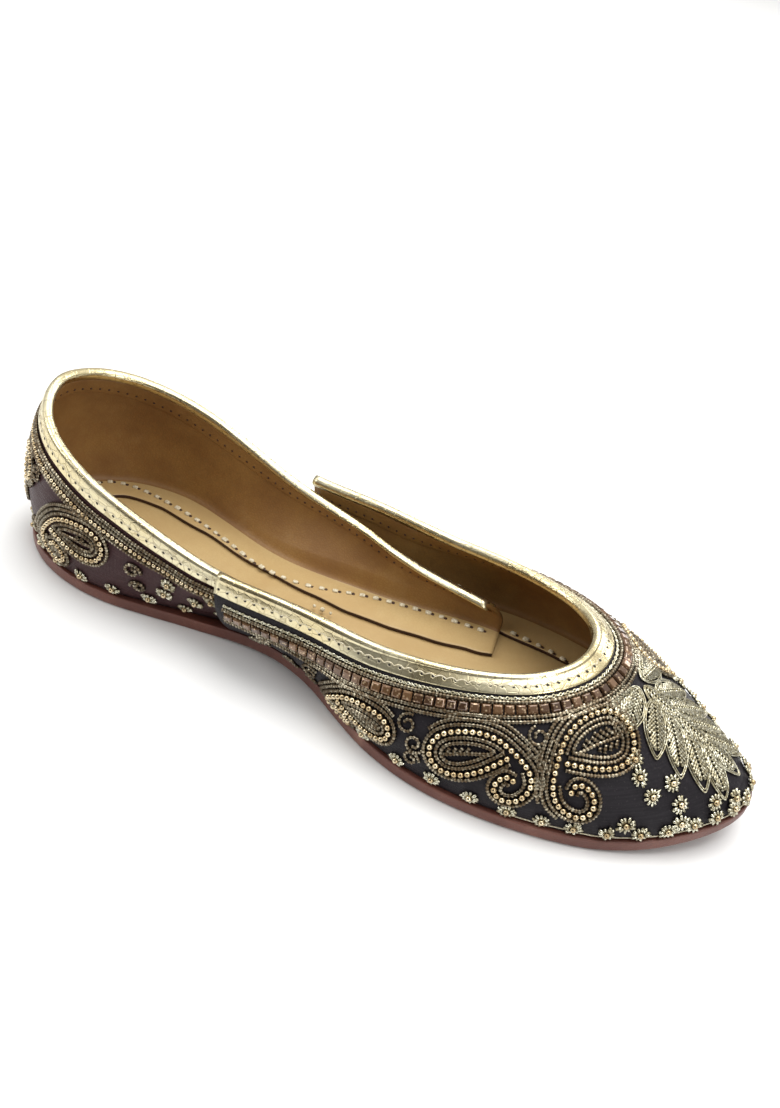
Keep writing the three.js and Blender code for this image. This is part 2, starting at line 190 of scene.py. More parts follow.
# %% The vamp's and quarter's walls


# signed place and mm down of both ends, width in mm, and depth in mm (below nought is a ridge)
CREASES = np.array([
    [-7.9, 44, -7.3, 26, 3.2, 0.4], [-5.3, 52, -5.6, 36, 3.6, 0.35], [-2.2, 60, -2.7, 48, 4.0, 0.4],
    [-10.6, 30, -10.2, 12, 3.4, 0.35], [7.2, 43, 7.9, 27, 3.4, 0.4], [4.6, 55, 5.2, 38, 3.8, 0.35],
    [-0.8, 63, -1.4, 52, 3.0, -0.3], [10.9, 29, 10.4, 13, 3.2, 0.35], [-15.4, 33, -14.6, 12, 4.0, 0.45],
    [-14.2, 30, -13.9, 10, 3.2, -0.3], [15.1, 34, 14.9, 14, 4.0, 0.4], [-18.8, 46, -18.1, 24, 4.6, 0.35],
    [18.4, 44, 18.9, 22, 4.4, 0.35],
])
PLACE_LENGTH = 11.5


def creased(place, down):
    """How far the wall sinks at a spot because of the soft creases nearby."""
    place, down = np.broadcast_arrays(np.asarray(place, float), np.asarray(down, float))
    spot = np.stack([place * PLACE_LENGTH, down], -1)
    sink = np.zeros(place.shape)
    for start, low, end, high, width, depth in CREASES:
        a, b = np.array([start * PLACE_LENGTH, low]), np.array([end * PLACE_LENGTH, high])
        share = np.clip(((spot - a) @ (b - a)) / ((b - a) @ (b - a)), 0, 1)
        gap = np.linalg.norm(spot - (a + share[..., None] * (b - a)), axis=-1)
        sink += depth * np.exp(-((gap / width) ** 2))
    return sink


class Wall:
    """A wall of the upper, with its outer face inset from the skin by inset(place, up)."""

    def __init__(self, start, end, inset, dip):
        self.start, self.end, self.inset, self.dip = start, end, inset, dip
        self.places = np.linspace(0, HEEL, 421)
        self.ups = np.linspace(1.0, 0.0, 81)
        grid = skin(self.places[:, None], self.ups[None, :])
        steps = np.linalg.norm(np.diff(grid, axis=1), axis=-1)
        self.depths = np.hstack([np.zeros((len(self.places), 1)), np.cumsum(steps, axis=1)])

    def up_at(self, place, down):
        """The value of up that lies so many mm below this wall's own top edge."""
        place, down = np.broadcast_arrays(np.asarray(place, float), np.asarray(down, float))
        at = np.abs(place) / HEEL * (len(self.places) - 1)
        low = np.minimum(at.astype(int), len(self.places) - 2)
        share = (at - low)[..., None]
        depths = self.depths[low] * (1 - share) + self.depths[low + 1] * share
        below = down + self.dip(np.abs(place))
        flat, wanted = depths.reshape(-1, len(self.ups)), below.reshape(-1)
        ups = np.array([np.interp(w, d, self.ups) for w, d in zip(wanted, flat)]).reshape(place.shape)
        rate = depths[..., 1] / (self.ups[0] - self.ups[1])
        return np.where(below < 0, 1 - below / rate, ups)

    def at(self, place, down, out=0.0):
        up = self.up_at(place, down)
        return self.at_up(place, up, out - creased(place, down))

    def at_up(self, place, up, out=0.0):
        shift = (out - self.inset(np.abs(place), up))[..., None]
        return skin(place, up) + skin_normal(place, up) * shift

    def height(self, place):
        """The wall's developed height, from its top edge to the sole."""
        return np.interp(np.abs(place), self.places, self.depths[:, -1]) - self.dip(np.abs(place))


def rows_tucked(place):
    return np.maximum(16.6 - place, 0)


def tuck(place):
    rows = rows_tucked(place)
    return 1.6 * rows * rows / (rows + 1.2)


vamp_wall = Wall(0.0, 13.2, lambda p, up: 0 * p * up, lambda p: 0 * p)
quarter_wall = Wall(8.2, HEEL, lambda p, up: tuck(p) + 0.07 * rows_tucked(p) ** 2 * up * up,
                    lambda p: 0.19 * rows_tucked(p) ** 2)
print("vamp height at the throat:", round(float(vamp_wall.height(0.0)), 1), "mm")


# %% [markdown]
# ## Along the shoe
# Both walls cross the centre line once, the vamp at the toe and the quarter at the heel. `around` runs
# from 0 at the right end, through the centre, to 1 at the left end, and turns that into a signed place.
# The quarter's places run the other way, so its signs are swapped at the heel.

# %% From a fraction round a wall to a place


def vamp_place(around):
    return (np.asarray(around, float) * 2 - 1) * vamp_wall.end


def quarter_place(around):
    a = np.asarray(around, float) * 2 - 1
    side = np.where(a < 0, -1.0, 1.0)
    return side * (HEEL - np.abs(a) * (HEEL - quarter_wall.start))


def top_lengths(wall, place_of, count=801):
    """Cumulative mm along a top edge, for even stitches and patterns that run with the edge."""
    around = np.linspace(0, 1, count)
    edge = wall.at(place_of(around), 0 * around)
    return around, np.concatenate([[0], np.cumsum(np.linalg.norm(np.diff(edge, axis=0), axis=1))])


VAMP_RUN = top_lengths(vamp_wall, vamp_place)
QUARTER_RUN = top_lengths(quarter_wall, quarter_place)
print("top edges: vamp", round(VAMP_RUN[1][-1]), "mm, quarter", round(QUARTER_RUN[1][-1]), "mm")

# %% [markdown]
# ## Pieces from grids
# A shoe's panels are flat leather bent to shape, and so are these: `create_grid` gives a flat sheet, and
# every vertex is moved onto the surface. Its UV map is in millimetres, which lets later materials place
# stitch holes and threads. A grid whose last column meets its first becomes a closed ring once the doubles
# are merged, and `triangle_fill` closes the two ends.

# %% The grid helper


def open_edges(bm):
    return [e for e in bm.edges if e.is_boundary]


def grid_piece(name, rows, columns, surface, uv=None, zones=None, ring=False, cap=0):
    """surface(a, b) gives mm points for a and b from 0 to 1; zones(a, b) gives a material number."""
    bm = bmesh.new()
    bmesh.ops.create_grid(bm, x_segments=rows, y_segments=columns, size=0.5)
    ab = np.array([v.co[:2] for v in bm.verts]) + 0.5
    layer = bm.loops.layers.uv.new("mm")
    for face in bm.faces:
        centre = face.calc_center_median()
        if zones:
            face.material_index = int(zones(centre.x + 0.5, centre.y + 0.5))
        for loop in face.loops:
            loop[layer].uv = (loop.vert.co.x + 0.5, loop.vert.co.y + 0.5)
    points = lifted(surface(ab[:, 0], ab[:, 1])) * MM
    for vert, point in zip(bm.verts, points):
        vert.co = point
    if uv:
        for face in bm.faces:
            for loop in face.loops:
                a, b = loop[layer].uv
                loop[layer].uv = uv(a, b)
    if ring:
        bmesh.ops.remove_doubles(bm, verts=bm.verts, dist=1e-6)
        filled = bmesh.ops.triangle_fill(bm, use_beauty=True, edges=open_edges(bm))
        for face in filled["geom"]:
            if isinstance(face, bmesh.types.BMFace):
                face.material_index = cap
    bmesh.ops.recalc_face_normals(bm, faces=bm.faces)
    for face in bm.faces:
        face.smooth = True
    return finish_piece(name, bm)


def finish_piece(name, bm):
    mesh = bpy.data.meshes.new(name)
    bm.to_mesh(mesh)
    bm.free()
    piece = bpy.data.objects.new(name, mesh)
    bpy.context.scene.collection.objects.link(piece)
    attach(piece, "root")
    return piece


def polyline(stops, values, at):
    """Columns of values interpolated at `at` along stops."""
    return np.stack([np.interp(at, stops, column) for column in np.transpose(values)], -1)


def open_count(piece):
    bm = bmesh.new()
    bm.from_mesh(piece.data)
    count = len(open_edges(bm))
    bm.free()
    return count


def dress(piece, slot, *materials):
    for material in materials:
        piece.data.materials.append(material)
    print(piece.name, len(piece.data.polygons), "faces, open edges", open_count(piece))
    return piece


# %% [markdown]
# ## Effects shared by the materials
# Leather, satin and gilt foil all age in the same few ways, so each effect is a node group with named
# sockets: grain for hides, weave for satin, creases for foil, and a soft mask for rubbing and dust.
# A group is built once and set differently in every material that uses it.

# %% Node group helpers


def new_group(name, inputs, outputs):
    group = bpy.data.node_groups.new(name, "ShaderNodeTree")
    for label, kind, value in inputs:
        socket = group.interface.new_socket(label, in_out="INPUT", socket_type=kind)
        socket.default_value = value
    for label, kind in outputs:
        group.interface.new_socket(label, in_out="OUTPUT", socket_type=kind)
    ends = group.nodes.new("NodeGroupInput"), group.nodes.new("NodeGroupOutput")
    return group, ends[0], ends[1]


def node(tree, kind, links=(), **settings):
    """Adds a node, sets its properties, then its inputs: a value, or a socket to link from."""
    made = tree.nodes.new(kind)
    for key, value in settings.items():
        setattr(made, key, value)
    for key, value in dict(links).items():
        if isinstance(value, bpy.types.NodeSocket):
            tree.links.new(value, made.inputs[key])
        else:
            made.inputs[key].default_value = value
    return made


def blend(tree, share, low, high, mode="MIX"):
    """A colour mix; low and high are colours or sockets."""
    made = node(tree, "ShaderNodeMix", data_type="RGBA", blend_type=mode)
    for key, value in ((0, share), (6, low), (7, high)):
        if isinstance(value, bpy.types.NodeSocket):
            tree.links.new(value, made.inputs[key])
        else:
            made.inputs[key].default_value = value
    return made.outputs[2]


def ramp(tree, value, low, high, out_low=0.0, out_high=1.0):
    made = node(tree, "ShaderNodeMapRange", {0: value, 1: low, 2: high, 3: out_low, 4: out_high})
    made.interpolation_type = "SMOOTHSTEP"
    return made.outputs[0]


def maths(tree, operation, a, b=0.0):
    return node(tree, "ShaderNodeMath", {0: a, 1: b}, operation=operation).outputs[0]


# %% [markdown]
# ## Leather grain
# Tanned leather has fine pores and slow cloudy changes of tone. Pores could be modelled, but they are far
# smaller than a face, so a node group makes them from cells and noise. Every leather places it with its own
# sizes.

# %% Leather grain


def make_grain():
    tree, into, out = new_group(
        "leather_grain",
        [("Pore Size", "NodeSocketFloat", 1.1), ("Mottle Size", "NodeSocketFloat", 24.0)],
        [("Height", "NodeSocketFloat"), ("Pores", "NodeSocketFloat"), ("Mottle", "NodeSocketFloat")],
    )
    where = node(tree, "ShaderNodeTexCoord").outputs["Object"]
    pore_scale = maths(tree, "DIVIDE", 1000.0, into.outputs["Pore Size"])
    mottle_scale = maths(tree, "DIVIDE", 1000.0, into.outputs["Mottle Size"])
    cells = node(tree, "ShaderNodeTexVoronoi", {"Vector": where, "Scale": pore_scale},
                 feature="DISTANCE_TO_EDGE")
    fine = node(tree, "ShaderNodeTexNoise", {"Vector": where, "Scale": pore_scale, "Detail": 3.0})
    broad = node(tree, "ShaderNodeTexNoise", {"Vector": where, "Scale": mottle_scale, "Detail": 4.0,
                                              "Roughness": 0.6})
    pores = ramp(tree, cells.outputs["Distance"], 0.0, 0.25)
    height = maths(tree, "ADD", maths(tree, "MULTIPLY", pores, 0.6), fine.outputs[0])
    tree.links.new(height, out.inputs["Height"])
    tree.links.new(pores, out.inputs["Pores"])
    tree.links.new(ramp(tree, broad.outputs[0], 0.3, 0.7), out.inputs["Mottle"])
    return tree


grain_group = make_grain()

# %% [markdown]
# ### Satin weave
# Satin is woven so that long threads float on top and run one way, which is why it shines in streaks.
# The UV map is in millimetres along and down the wall, so a fine wave across it gives the ribs, and noise
# stretched along the threads breaks the shine into slubs.

# %% Satin weave


def make_weave():
    tree, into, out = new_group(
        "satin_weave",
        [("Thread", "NodeSocketFloat", 0.22), ("Slub", "NodeSocketFloat", 0.5)],
        [("Height", "NodeSocketFloat"), ("Float", "NodeSocketFloat"), ("Streak", "NodeSocketFloat")],
    )
    uv = node(tree, "ShaderNodeUVMap", uv_map="mm").outputs[0]
    per_mm = maths(tree, "DIVIDE", 1.0, into.outputs["Thread"])
    parts = node(tree, "ShaderNodeSeparateXYZ", {0: uv})
    across = maths(tree, "MULTIPLY", parts.outputs[1], per_mm)
    along = maths(tree, "MULTIPLY", parts.outputs[0], per_mm)
    ribs = maths(tree, "SINE", maths(tree, "MULTIPLY", across, math.tau))
    picks = maths(tree, "SINE", maths(tree, "MULTIPLY", along, math.tau / 5.0))
    floats = maths(tree, "MULTIPLY", ribs, maths(tree, "ADD", maths(tree, "MULTIPLY", picks, 0.25), 0.75))
    stretched = node(tree, "ShaderNodeCombineXYZ", {0: maths(tree, "MULTIPLY", along, 0.03),
                                                    1: maths(tree, "MULTIPLY", across, 0.5)})
    slubs = node(tree, "ShaderNodeTexNoise", {"Vector": stretched.outputs[0], "Scale": 1.0, "Detail": 3.0})
    streak = ramp(tree, slubs.outputs[0], 0.35, 0.7)
    height = maths(tree, "ADD", floats, maths(tree, "MULTIPLY", streak, into.outputs["Slub"]))
    tree.links.new(height, out.inputs["Height"])
    tree.links.new(floats, out.inputs["Float"])
    tree.links.new(streak, out.inputs["Streak"])
    return tree


weave_group = make_weave()

# %% [markdown]
# ## Foil creases, rubbing and dust
# Metal foil on thin leather cracks along fine lines where it was folded, and rubs away in patches. Cell
# edges give the cracks and noise gives the patches, in two groups that several materials share.

# %% Foil creases, and rubbing with dust


def make_creases():
    tree, into, out = new_group(
        "foil_creases",
        [("Crease Size", "NodeSocketFloat", 3.0)],
        [("Height", "NodeSocketFloat"), ("Crack", "NodeSocketFloat"), ("Cloud", "NodeSocketFloat")],
    )
    where = node(tree, "ShaderNodeTexCoord").outputs["Object"]
    scale = maths(tree, "DIVIDE", 1000.0, into.outputs["Crease Size"])
    soft = node(tree, "ShaderNodeTexNoise", {"Vector": where, "Scale": scale, "Detail": 3.0,
                                             "Distortion": 0.8})
    cells = node(tree, "ShaderNodeTexVoronoi", {"Vector": where, "Scale": scale, "Randomness": 1.0},
                 feature="DISTANCE_TO_EDGE")
    cloud = node(tree, "ShaderNodeTexNoise", {"Vector": where, "Scale": maths(tree, "MULTIPLY", scale, 0.12),
                                              "Detail": 4.0})
    crack = ramp(tree, cells.outputs["Distance"], 0.0, 0.05, 1.0, 0.0)
    height = maths(tree, "SUBTRACT", soft.outputs[0], maths(tree, "MULTIPLY", crack, 0.25))
    tree.links.new(height, out.inputs["Height"])
    tree.links.new(crack, out.inputs["Crack"])
    tree.links.new(ramp(tree, cloud.outputs[0], 0.35, 0.65), out.inputs["Cloud"])
    return tree


def make_wear():
    tree, into, out = new_group(
        "rub_and_dust",
        [("Patch Size", "NodeSocketFloat", 12.0), ("Amount", "NodeSocketFloat", 0.3)],
        [("Rub", "NodeSocketFloat"), ("Dust", "NodeSocketFloat")],
    )
    where = node(tree, "ShaderNodeTexCoord").outputs["Object"]
    scale = maths(tree, "DIVIDE", 1000.0, into.outputs["Patch Size"])
    patch = node(tree, "ShaderNodeTexNoise", {"Vector": where, "Scale": scale, "Detail": 6.0,
                                              "Roughness": 0.7})
    specks = node(tree, "ShaderNodeTexNoise", {"Vector": where, "Scale": maths(tree, "MULTIPLY", scale, 14.0),
                                               "Detail": 2.0})
    rub = maths(tree, "MULTIPLY", ramp(tree, patch.outputs[0], 0.52, 0.75), into.outputs["Amount"])
    dust = maths(tree, "MULTIPLY", ramp(tree, specks.outputs[0], 0.62, 0.72), into.outputs["Amount"])
    tree.links.new(rub, out.inputs["Rub"])
    tree.links.new(dust, out.inputs["Dust"])
    return tree


crease_group, wear_group = make_creases(), make_wear()
print("node groups:", [g.name for g in bpy.data.node_groups])

# %% [markdown]
# ## Leathers
# Three hides: plain tan for the lining and footbed, red-brown for the sole, and a darker dye brushed along
# cut edges. The lining's tan is coloured darker than the footbed's, as painted shade inside the walls, and
# the dark dye also colours the small discs that stand for stitch holes, as painted shade. Each mixes two
# tones with the mottle mask, darkens the pores, and takes its bump from the grain, so none of them is a flat
# colour.

# %% Leather materials


def new_material(name):
    material = bpy.data.materials.new(name)
    material.use_nodes = True
    tree = material.node_tree
    return material, tree, tree.nodes["Principled BSDF"]


def place_group(tree, group, **values):
    made = node(tree, "ShaderNodeGroup", node_tree=group)
    for key, value in values.items():
        made.inputs[key.replace("_", " ")].default_value = value
    return made


def bump(tree, shader, height, strength, depth):
    made = node(tree, "ShaderNodeBump", {"Strength": strength, "Distance": depth * MM, "Height": height})
    tree.links.new(made.outputs[0], shader.inputs["Normal"])


def leather(name, light, dark, dust, roughness=0.5, pore=1.1, depth=0.12, amount=0.3, coat=0.0):
    material, tree, shader = new_material(name)
    grain = place_group(tree, grain_group, Pore_Size=pore, Mottle_Size=26.0)
    wear = place_group(tree, wear_group, Patch_Size=14.0, Amount=amount)
    tone = blend(tree, grain.outputs["Mottle"], dark, light)
    tone = blend(tree, ramp(tree, grain.outputs["Pores"], 0.0, 0.6, 0.35, 0.0), tone, dark)
    tone = blend(tree, wear.outputs["Rub"], tone, dust)
    tree.links.new(tone, shader.inputs["Base Color"])
    rough = ramp(tree, grain.outputs["Mottle"], 0.0, 1.0, roughness + 0.08, roughness - 0.06)
    tree.links.new(rough, shader.inputs["Roughness"])
    shader.inputs["Coat Weight"].default_value = coat
    shader.inputs["Coat Roughness"].default_value = 0.3
    bump(tree, shader, grain.outputs["Height"], 0.35, depth)
    return material


# the lining's tan is darker than the footbed's tan: the hide's own tone plus painted shade inside the walls
lining_leather = leather("tan_lining_shaded", (0.29, 0.155, 0.045, 1), (0.2, 0.095, 0.026, 1), (0.36, 0.22, 0.09, 1),
                         roughness=0.5, depth=0.08, amount=0.25)
footbed_leather = leather("tan_footbed",
                          (0.5, 0.355, 0.16, 1), (0.43, 0.285, 0.115, 1), (0.55, 0.42, 0.22, 1),
                          roughness=0.46, depth=0.06, amount=0.2)
sole_leather = leather("sole_red_brown", (0.16, 0.052, 0.034, 1), (0.1, 0.03, 0.02, 1), (0.26, 0.13, 0.09, 1),
                       roughness=0.5, depth=0.15, amount=0.5)
sole_edge = leather("sole_edge_burnished", (0.19, 0.068, 0.046, 1), (0.115, 0.038, 0.026, 1),
                    (0.34, 0.17, 0.12, 1), roughness=0.4, depth=0.1, amount=0.45)
# the dark dye is real on cut edges; on the small hole discs it is painted shade
edge_dye_and_hole_shade = leather("dark_edge_dye_and_hole_shade", (0.06, 0.022, 0.01, 1), (0.03, 0.01, 0.005, 1), (0.12, 0.06, 0.03, 1),
                   roughness=0.5, depth=0.1, amount=0.2)
print("leathers ready")

# %% [markdown]
# ## Satin and gilt
# The vamp's satin is nearly black with a brown cast, and the quarter's is plum-brown. Sheen is a plain
# number on the shader, because it is the same everywhere; only colour, roughness and bump vary. The colour
# is also lighter along the weave's floats and streaks, which is a painted sheen. The gilt
# leather is metal foil pressed on a thin skin, so it is fully metallic, crinkled, and darker in its creases.

# %% Satin and gilt materials


def satin(name, base, painted_sheen, dusty):
    material, tree, shader = new_material(name)
    weave = place_group(tree, weave_group, Thread=0.24, Slub=0.6)
    wear = place_group(tree, wear_group, Patch_Size=9.0, Amount=0.35)
    # the floats and streaks lighten the colour towards the second tone: a painted sheen, not a dye
    tone = blend(tree, ramp(tree, weave.outputs["Float"], -1.0, 1.0, 0.0, 0.6), base, painted_sheen)
    tone = blend(tree, maths(tree, "MULTIPLY", weave.outputs["Streak"], 0.35), tone, painted_sheen)
    tone = blend(tree, wear.outputs["Dust"], tone, dusty)
    tree.links.new(tone, shader.inputs["Base Color"])
    rough = ramp(tree, weave.outputs["Streak"], 0.0, 1.0, 0.5, 0.36)
    tree.links.new(rough, shader.inputs["Roughness"])
    shader.inputs["Sheen Weight"].default_value = 0.02
    shader.inputs["Specular IOR Level"].default_value = 0.14
    shader.inputs["Sheen Roughness"].default_value = 0.4
    shader.inputs["Sheen Tint"].default_value = (0.8, 0.75, 0.8, 1)
    bump(tree, shader, weave.outputs["Height"], 0.4, 0.05)
    return material


vamp_satin = satin("charcoal_satin",
                   (0.008, 0.007, 0.009, 1), (0.024, 0.02, 0.024, 1), (0.06, 0.052, 0.05, 1))
quarter_satin = satin("plum_satin",
                      (0.034, 0.015, 0.016, 1), (0.075, 0.034, 0.036, 1), (0.12, 0.08, 0.075, 1))


# Awl holes: one every HOLE_PITCH along the binding, HOLE_DOWN from its upper edge, in millimetres.
HOLE_PITCH, HOLE_DOWN = 3.1, 3.7


def gilt(name, bright, pale, tarnish, hole_row=True):
    """Foil leather. Where the UV map is the binding's, a row of awl holes runs along its middle, coloured
    near-black as painted shade in the pits.
    """
    material, tree, shader = new_material(name)
    crease = place_group(tree, crease_group, Crease_Size=3.4)
    wear = place_group(tree, wear_group, Patch_Size=7.0, Amount=0.5)
    tone = blend(tree, crease.outputs["Cloud"], bright, pale)
    tone = blend(tree, maths(tree, "MULTIPLY", crease.outputs["Crack"], 0.55), tone, tarnish)
    tone = blend(tree, wear.outputs["Rub"], tone, tarnish)
    rough = ramp(tree, crease.outputs["Cloud"], 0.0, 1.0, 0.22, 0.34)
    height = crease.outputs["Height"]
    if hole_row:
        uv = node(tree, "ShaderNodeUVMap", uv_map="mm").outputs[0]
        parts = node(tree, "ShaderNodeSeparateXYZ", {0: uv})
        run = maths(tree, "DIVIDE", parts.outputs[0], HOLE_PITCH)
        step = maths(tree, "MULTIPLY", maths(tree, "SUBTRACT", maths(tree, "FRACT", run), 0.5), HOLE_PITCH)
        off = maths(tree, "SUBTRACT", parts.outputs[1], HOLE_DOWN)
        spread = maths(tree, "ADD", maths(tree, "MULTIPLY", step, step), maths(tree, "MULTIPLY", off, off))
        hole = ramp(tree, maths(tree, "SQRT", spread), 0.34, 0.56, 1.0, 0.0)
        # the holes' near-black colour is painted shade in the pits
        tone = blend(tree, hole, tone, (0.012, 0.008, 0.004, 1))
        rough = maths(tree, "ADD", rough, maths(tree, "MULTIPLY", hole, 0.4))
        height = maths(tree, "SUBTRACT", height, maths(tree, "MULTIPLY", hole, 1.2))
        tree.links.new(maths(tree, "SUBTRACT", 1.0, hole), shader.inputs["Metallic"])
    else:
        shader.inputs["Metallic"].default_value = 1.0
    tree.links.new(tone, shader.inputs["Base Color"])
    tree.links.new(rough, shader.inputs["Roughness"])
    bump(tree, shader, height, 0.5, 0.25)
    return material


gold_foil = gilt("pale_gold_foil", (0.68, 0.58, 0.34, 1), (0.76, 0.7, 0.49, 1), (0.26, 0.2, 0.1, 1))
print("cloth and foil ready")

# %% [markdown]
# ## The sole
# One layer of stout leather, cut a little wider than the upper and left with a plain square edge whose
# corners are rubbed round. Its section is a ring that runs from the middle of the top, over the rim and
# back underneath; a grid follows it from toe to heel, and both ends close to a line.

# %% Outsole


def welt(place):
    waist = ease(8.5, 11, place) * (1 - ease(14, 17, place))
    return 1.3 + (0.4 - 1.3) * waist


# across the half section: share of the half width, mm beyond the foot line as a share of the welt, and z
SOLE_STOPS = np.array([0.0, 0.10, 0.2, 0.25, 0.27, 0.29, 0.33, 0.36, 0.38, 0.40, 0.48, 0.5])
SOLE_HALF = np.array([
    [0.0, 0.0, 4.4], [0.5, 0.0, 4.4], [0.93, 0.0, 4.4], [1.0, 0.55, 4.4], [1.0, 0.9, 4.3], [1.0, 1.0, 3.95],
    [1.0, 1.04, 2.6], [1.0, 1.0, 1.1], [1.0, 0.8, 0.35], [1.0, 0.0, 0.0], [0.5, 0.0, 0.0], [0.0, 0.0, 0.0],
])


def sole_surface(a, b):
    place = a * HEEL
    side = np.where(b <= 0.5, 1.0, -1.0)
    half = polyline(SOLE_STOPS, SOLE_HALF, np.where(b <= 0.5, b, 1 - b))
    row, out = ray(place), outward(place)
    rim = np.stack([row[:, 0] - CENTRE, row[:, 1], 0 * place], -1) + out * (welt(place) * half[:, 1])[:, None]
    y = np.where((a < 1e-6) | (a > 1 - 1e-6), 0, rim[:, 1] * half[:, 0])
    return np.stack([rim[:, 0], y * side, half[:, 2]], -1)


def sole_zone(a, b):
    half = b if b <= 0.5 else 1 - b
    return 1 if 0.27 < half < 0.385 else 0


sole = grid_piece("sole", 150, 72, sole_surface, zones=sole_zone, ring=True)
dress(sole, "sole_leather", sole_leather, sole_edge)
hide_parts("outsole")

# %% [markdown]
# ## Footbed
# The footbed is a thin tan leather laid on the sole. It could be cut from the plain solid, but it has to
# follow whichever wall stands beside it, so it is a grid laid from rim to rim with the wall's own functions.

# %% Footbed


def footbed_surface(a, b):
    """A thin soft sheet on the sole, just inside whichever wall stands beside it."""
    place = a * HEEL
    side = np.where(b <= 0.5, 1.0, -1.0)
    half = np.where(b <= 0.5, b, 1 - b) * 2
    stops = np.array([0.0, 0.42, 0.47, 0.5, 0.53, 0.58, 1.0])
    shape = polyline(stops, np.array([[0, 1.2], [0.97, 1.2], [1.0, 1.05], [1.0, 0.6], [1.0, 0.1], [0.97, 0],
                                      [0, 0]]), half)
    inset = tuck(place) * ease(9.3, 10.4, place) + WALL + GAP
    row, out = ray(place), outward(place)
    rim = np.stack([row[:, 0] - CENTRE, row[:, 1], 0 * place], -1) - out * inset[:, None]
    y = np.where((a < 1e-6) | (a > 1 - 1e-6), 0, rim[:, 1] * shape[:, 0])
    return np.stack([rim[:, 0], y * side, FOOT_Z + shape[:, 1]], -1)


footbed = grid_piece("footbed", 130, 60, footbed_surface, ring=True)
dress(footbed, "lining_leather", footbed_leather)
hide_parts("insole")

# %% [markdown]
# ## The upper's two shells
# Each wall is leather with satin outside and tan lining inside, turned in along its foot into a flange that
# is sewn to the footbed. The section is one closed ring: up the outside, over the top, down the lining,
# along the flange and back. Faces take their material by where they lie on that ring.

# %% Shells

SEAM_OPEN = np.array([[0, 9.0], [14, 13.5], [34, 15.5], [56, 12.5], [78, 7.0], [98, 2.2], [108, 0.9],
                      [118, 2.6], [132, 6.8], [148, 12.0], [164, 17.0], [180, 22.0]])


def seam_open(along):
    """Half the open width between the quarter's flange edges, softly joined between the table's rows."""
    i = np.clip(np.searchsorted(SEAM_OPEN[:, 0], along) - 1, 0, len(SEAM_OPEN) - 2)
    t = np.clip((along - SEAM_OPEN[i, 0]) / (SEAM_OPEN[i + 1, 0] - SEAM_OPEN[i, 0]), 0, 1)
    share = (t + t * t * (3 - 2 * t)) / 2
    return SEAM_OPEN[i, 1] + (SEAM_OPEN[i + 1, 1] - SEAM_OPEN[i, 1]) * share


def vamp_flange(place):
    full = ray(place)[..., 9]
    return 0.5 + (full - 0.5) * (1 - ease(8.5, 8.8, np.abs(place)))


def quarter_flange(place):
    place = np.abs(place)
    row = ray(place)
    to_seam = row[..., 1] - tuck(place) - WALL - seam_open(row[..., 0])
    share = ease(16.5, 19, place)
    return to_seam * (1 - share) + 10 * share


SECTION_PARTS = np.array([0.0, 0.36, 0.42, 0.78, 0.82, 0.95, 0.97, 0.99, 1.0])


def shell_surface(wall, place_of, flange_of):
    def surface(a, b):
        place = place_of(a)
        reach, side = flange_of(place), outward(place)
        side[:, 1] *= np.where(place < 0, -1.0, 1.0)
        s = SECTION_PARTS
        out = np.zeros((len(a), 3))
        height = wall.height(place)

        def wall_at(share_down, off):
            points = wall.at(place, height * share_down, off)
            return points

        def flange_at(inwards, z):
            corner = wall.at_up(place, wall.up_at(place, height - (FLANGE_Z - FOOT_Z)), -WALL)
            corner = corner - side * inwards[:, None]
            corner[:, 2] = z
            return corner

        foot_in = wall.at_up(place, 0 * place, -WALL)
        foot_in[:, 2] = FOOT_Z
        foot_out = wall.at_up(place, 0 * place, 0.0)
        foot_out[:, 2] = FOOT_Z
        t = np.clip((b - s[0]) / (s[1] - s[0]), 0, 1)
        outer = wall_at(1 - t, 0.0)
        outer[t < 1e-6] = foot_out[t < 1e-6]
        turn = np.clip((b - s[1]) / (s[2] - s[1]), 0, 1) * math.pi
        over = wall.at(place, -0.45 * np.sin(turn), -WALL / 2 + WALL / 2 * np.cos(turn))
        t = np.clip((b - s[2]) / (s[3] - s[2]), 0, 1)
        low = (height - (FLANGE_Z + FLANGE_THICK - FOOT_Z) - 1.2) / height
        inner = wall_at(t * low, -WALL)
        corner_top = wall_at(low, -WALL)
        flat_start = flange_at(0 * reach + 1.4, FLANGE_Z + FLANGE_THICK)
        knee = flange_at(0 * reach + 0.15, FLANGE_Z + FLANGE_THICK + 0.1)
        t = np.clip((b - s[3]) / (s[4] - s[3]), 0, 1)[:, None]
        bend = corner_top * (1 - t) ** 2 + knee * 2 * t * (1 - t) + flat_start * t * t
        t = np.clip((b - s[4]) / (s[5] - s[4]), 0, 1)
        start = np.minimum(1.4, reach * 0.5)
        flat = flange_at(start + (reach - start) * t, FLANGE_Z + FLANGE_THICK)
        t = np.clip((b - s[5]) / (s[6] - s[5]), 0, 1)
        lip = flange_at(reach, FLANGE_Z + FLANGE_THICK * (1 - t))
        t = np.clip((b - s[6]) / (s[7] - s[6]), 0, 1)
        under = flange_at(reach * (1 - t), FLANGE_Z)
        t = np.clip((b - s[7]) / (s[8] - s[7]), 0, 1)[:, None]
        base = np.where(t < 0.5, flange_at(0 * reach, FLANGE_Z) * (1 - 2 * t) + foot_in * 2 * t,
                        foot_in * (2 - 2 * t) + foot_out * (2 * t - 1))
        for k, part in enumerate((outer, over, inner, bend, flat, lip, under, base)):
            chosen = (b >= s[k] - 1e-9) if k else np.ones(len(b), bool)
            out[chosen] = part[chosen]
        return out

    return surface


def run_at(run, a):
    return float(np.interp(a, run[0], run[1]))


def shell_uv(run):
    def uv(a, b):
        s = SECTION_PARTS
        down = np.interp(b, s, [45, 0, -2, -45, -48, -60, -61, -75, -78])
        return run_at(run, a), down
    return uv


def shell_zone(a, b):
    s = SECTION_PARTS
    if b < s[1] + 0.01:
        return 0
    return 2 if s[5] < b < s[6] else (3 if s[4] < b < s[5] else 1)


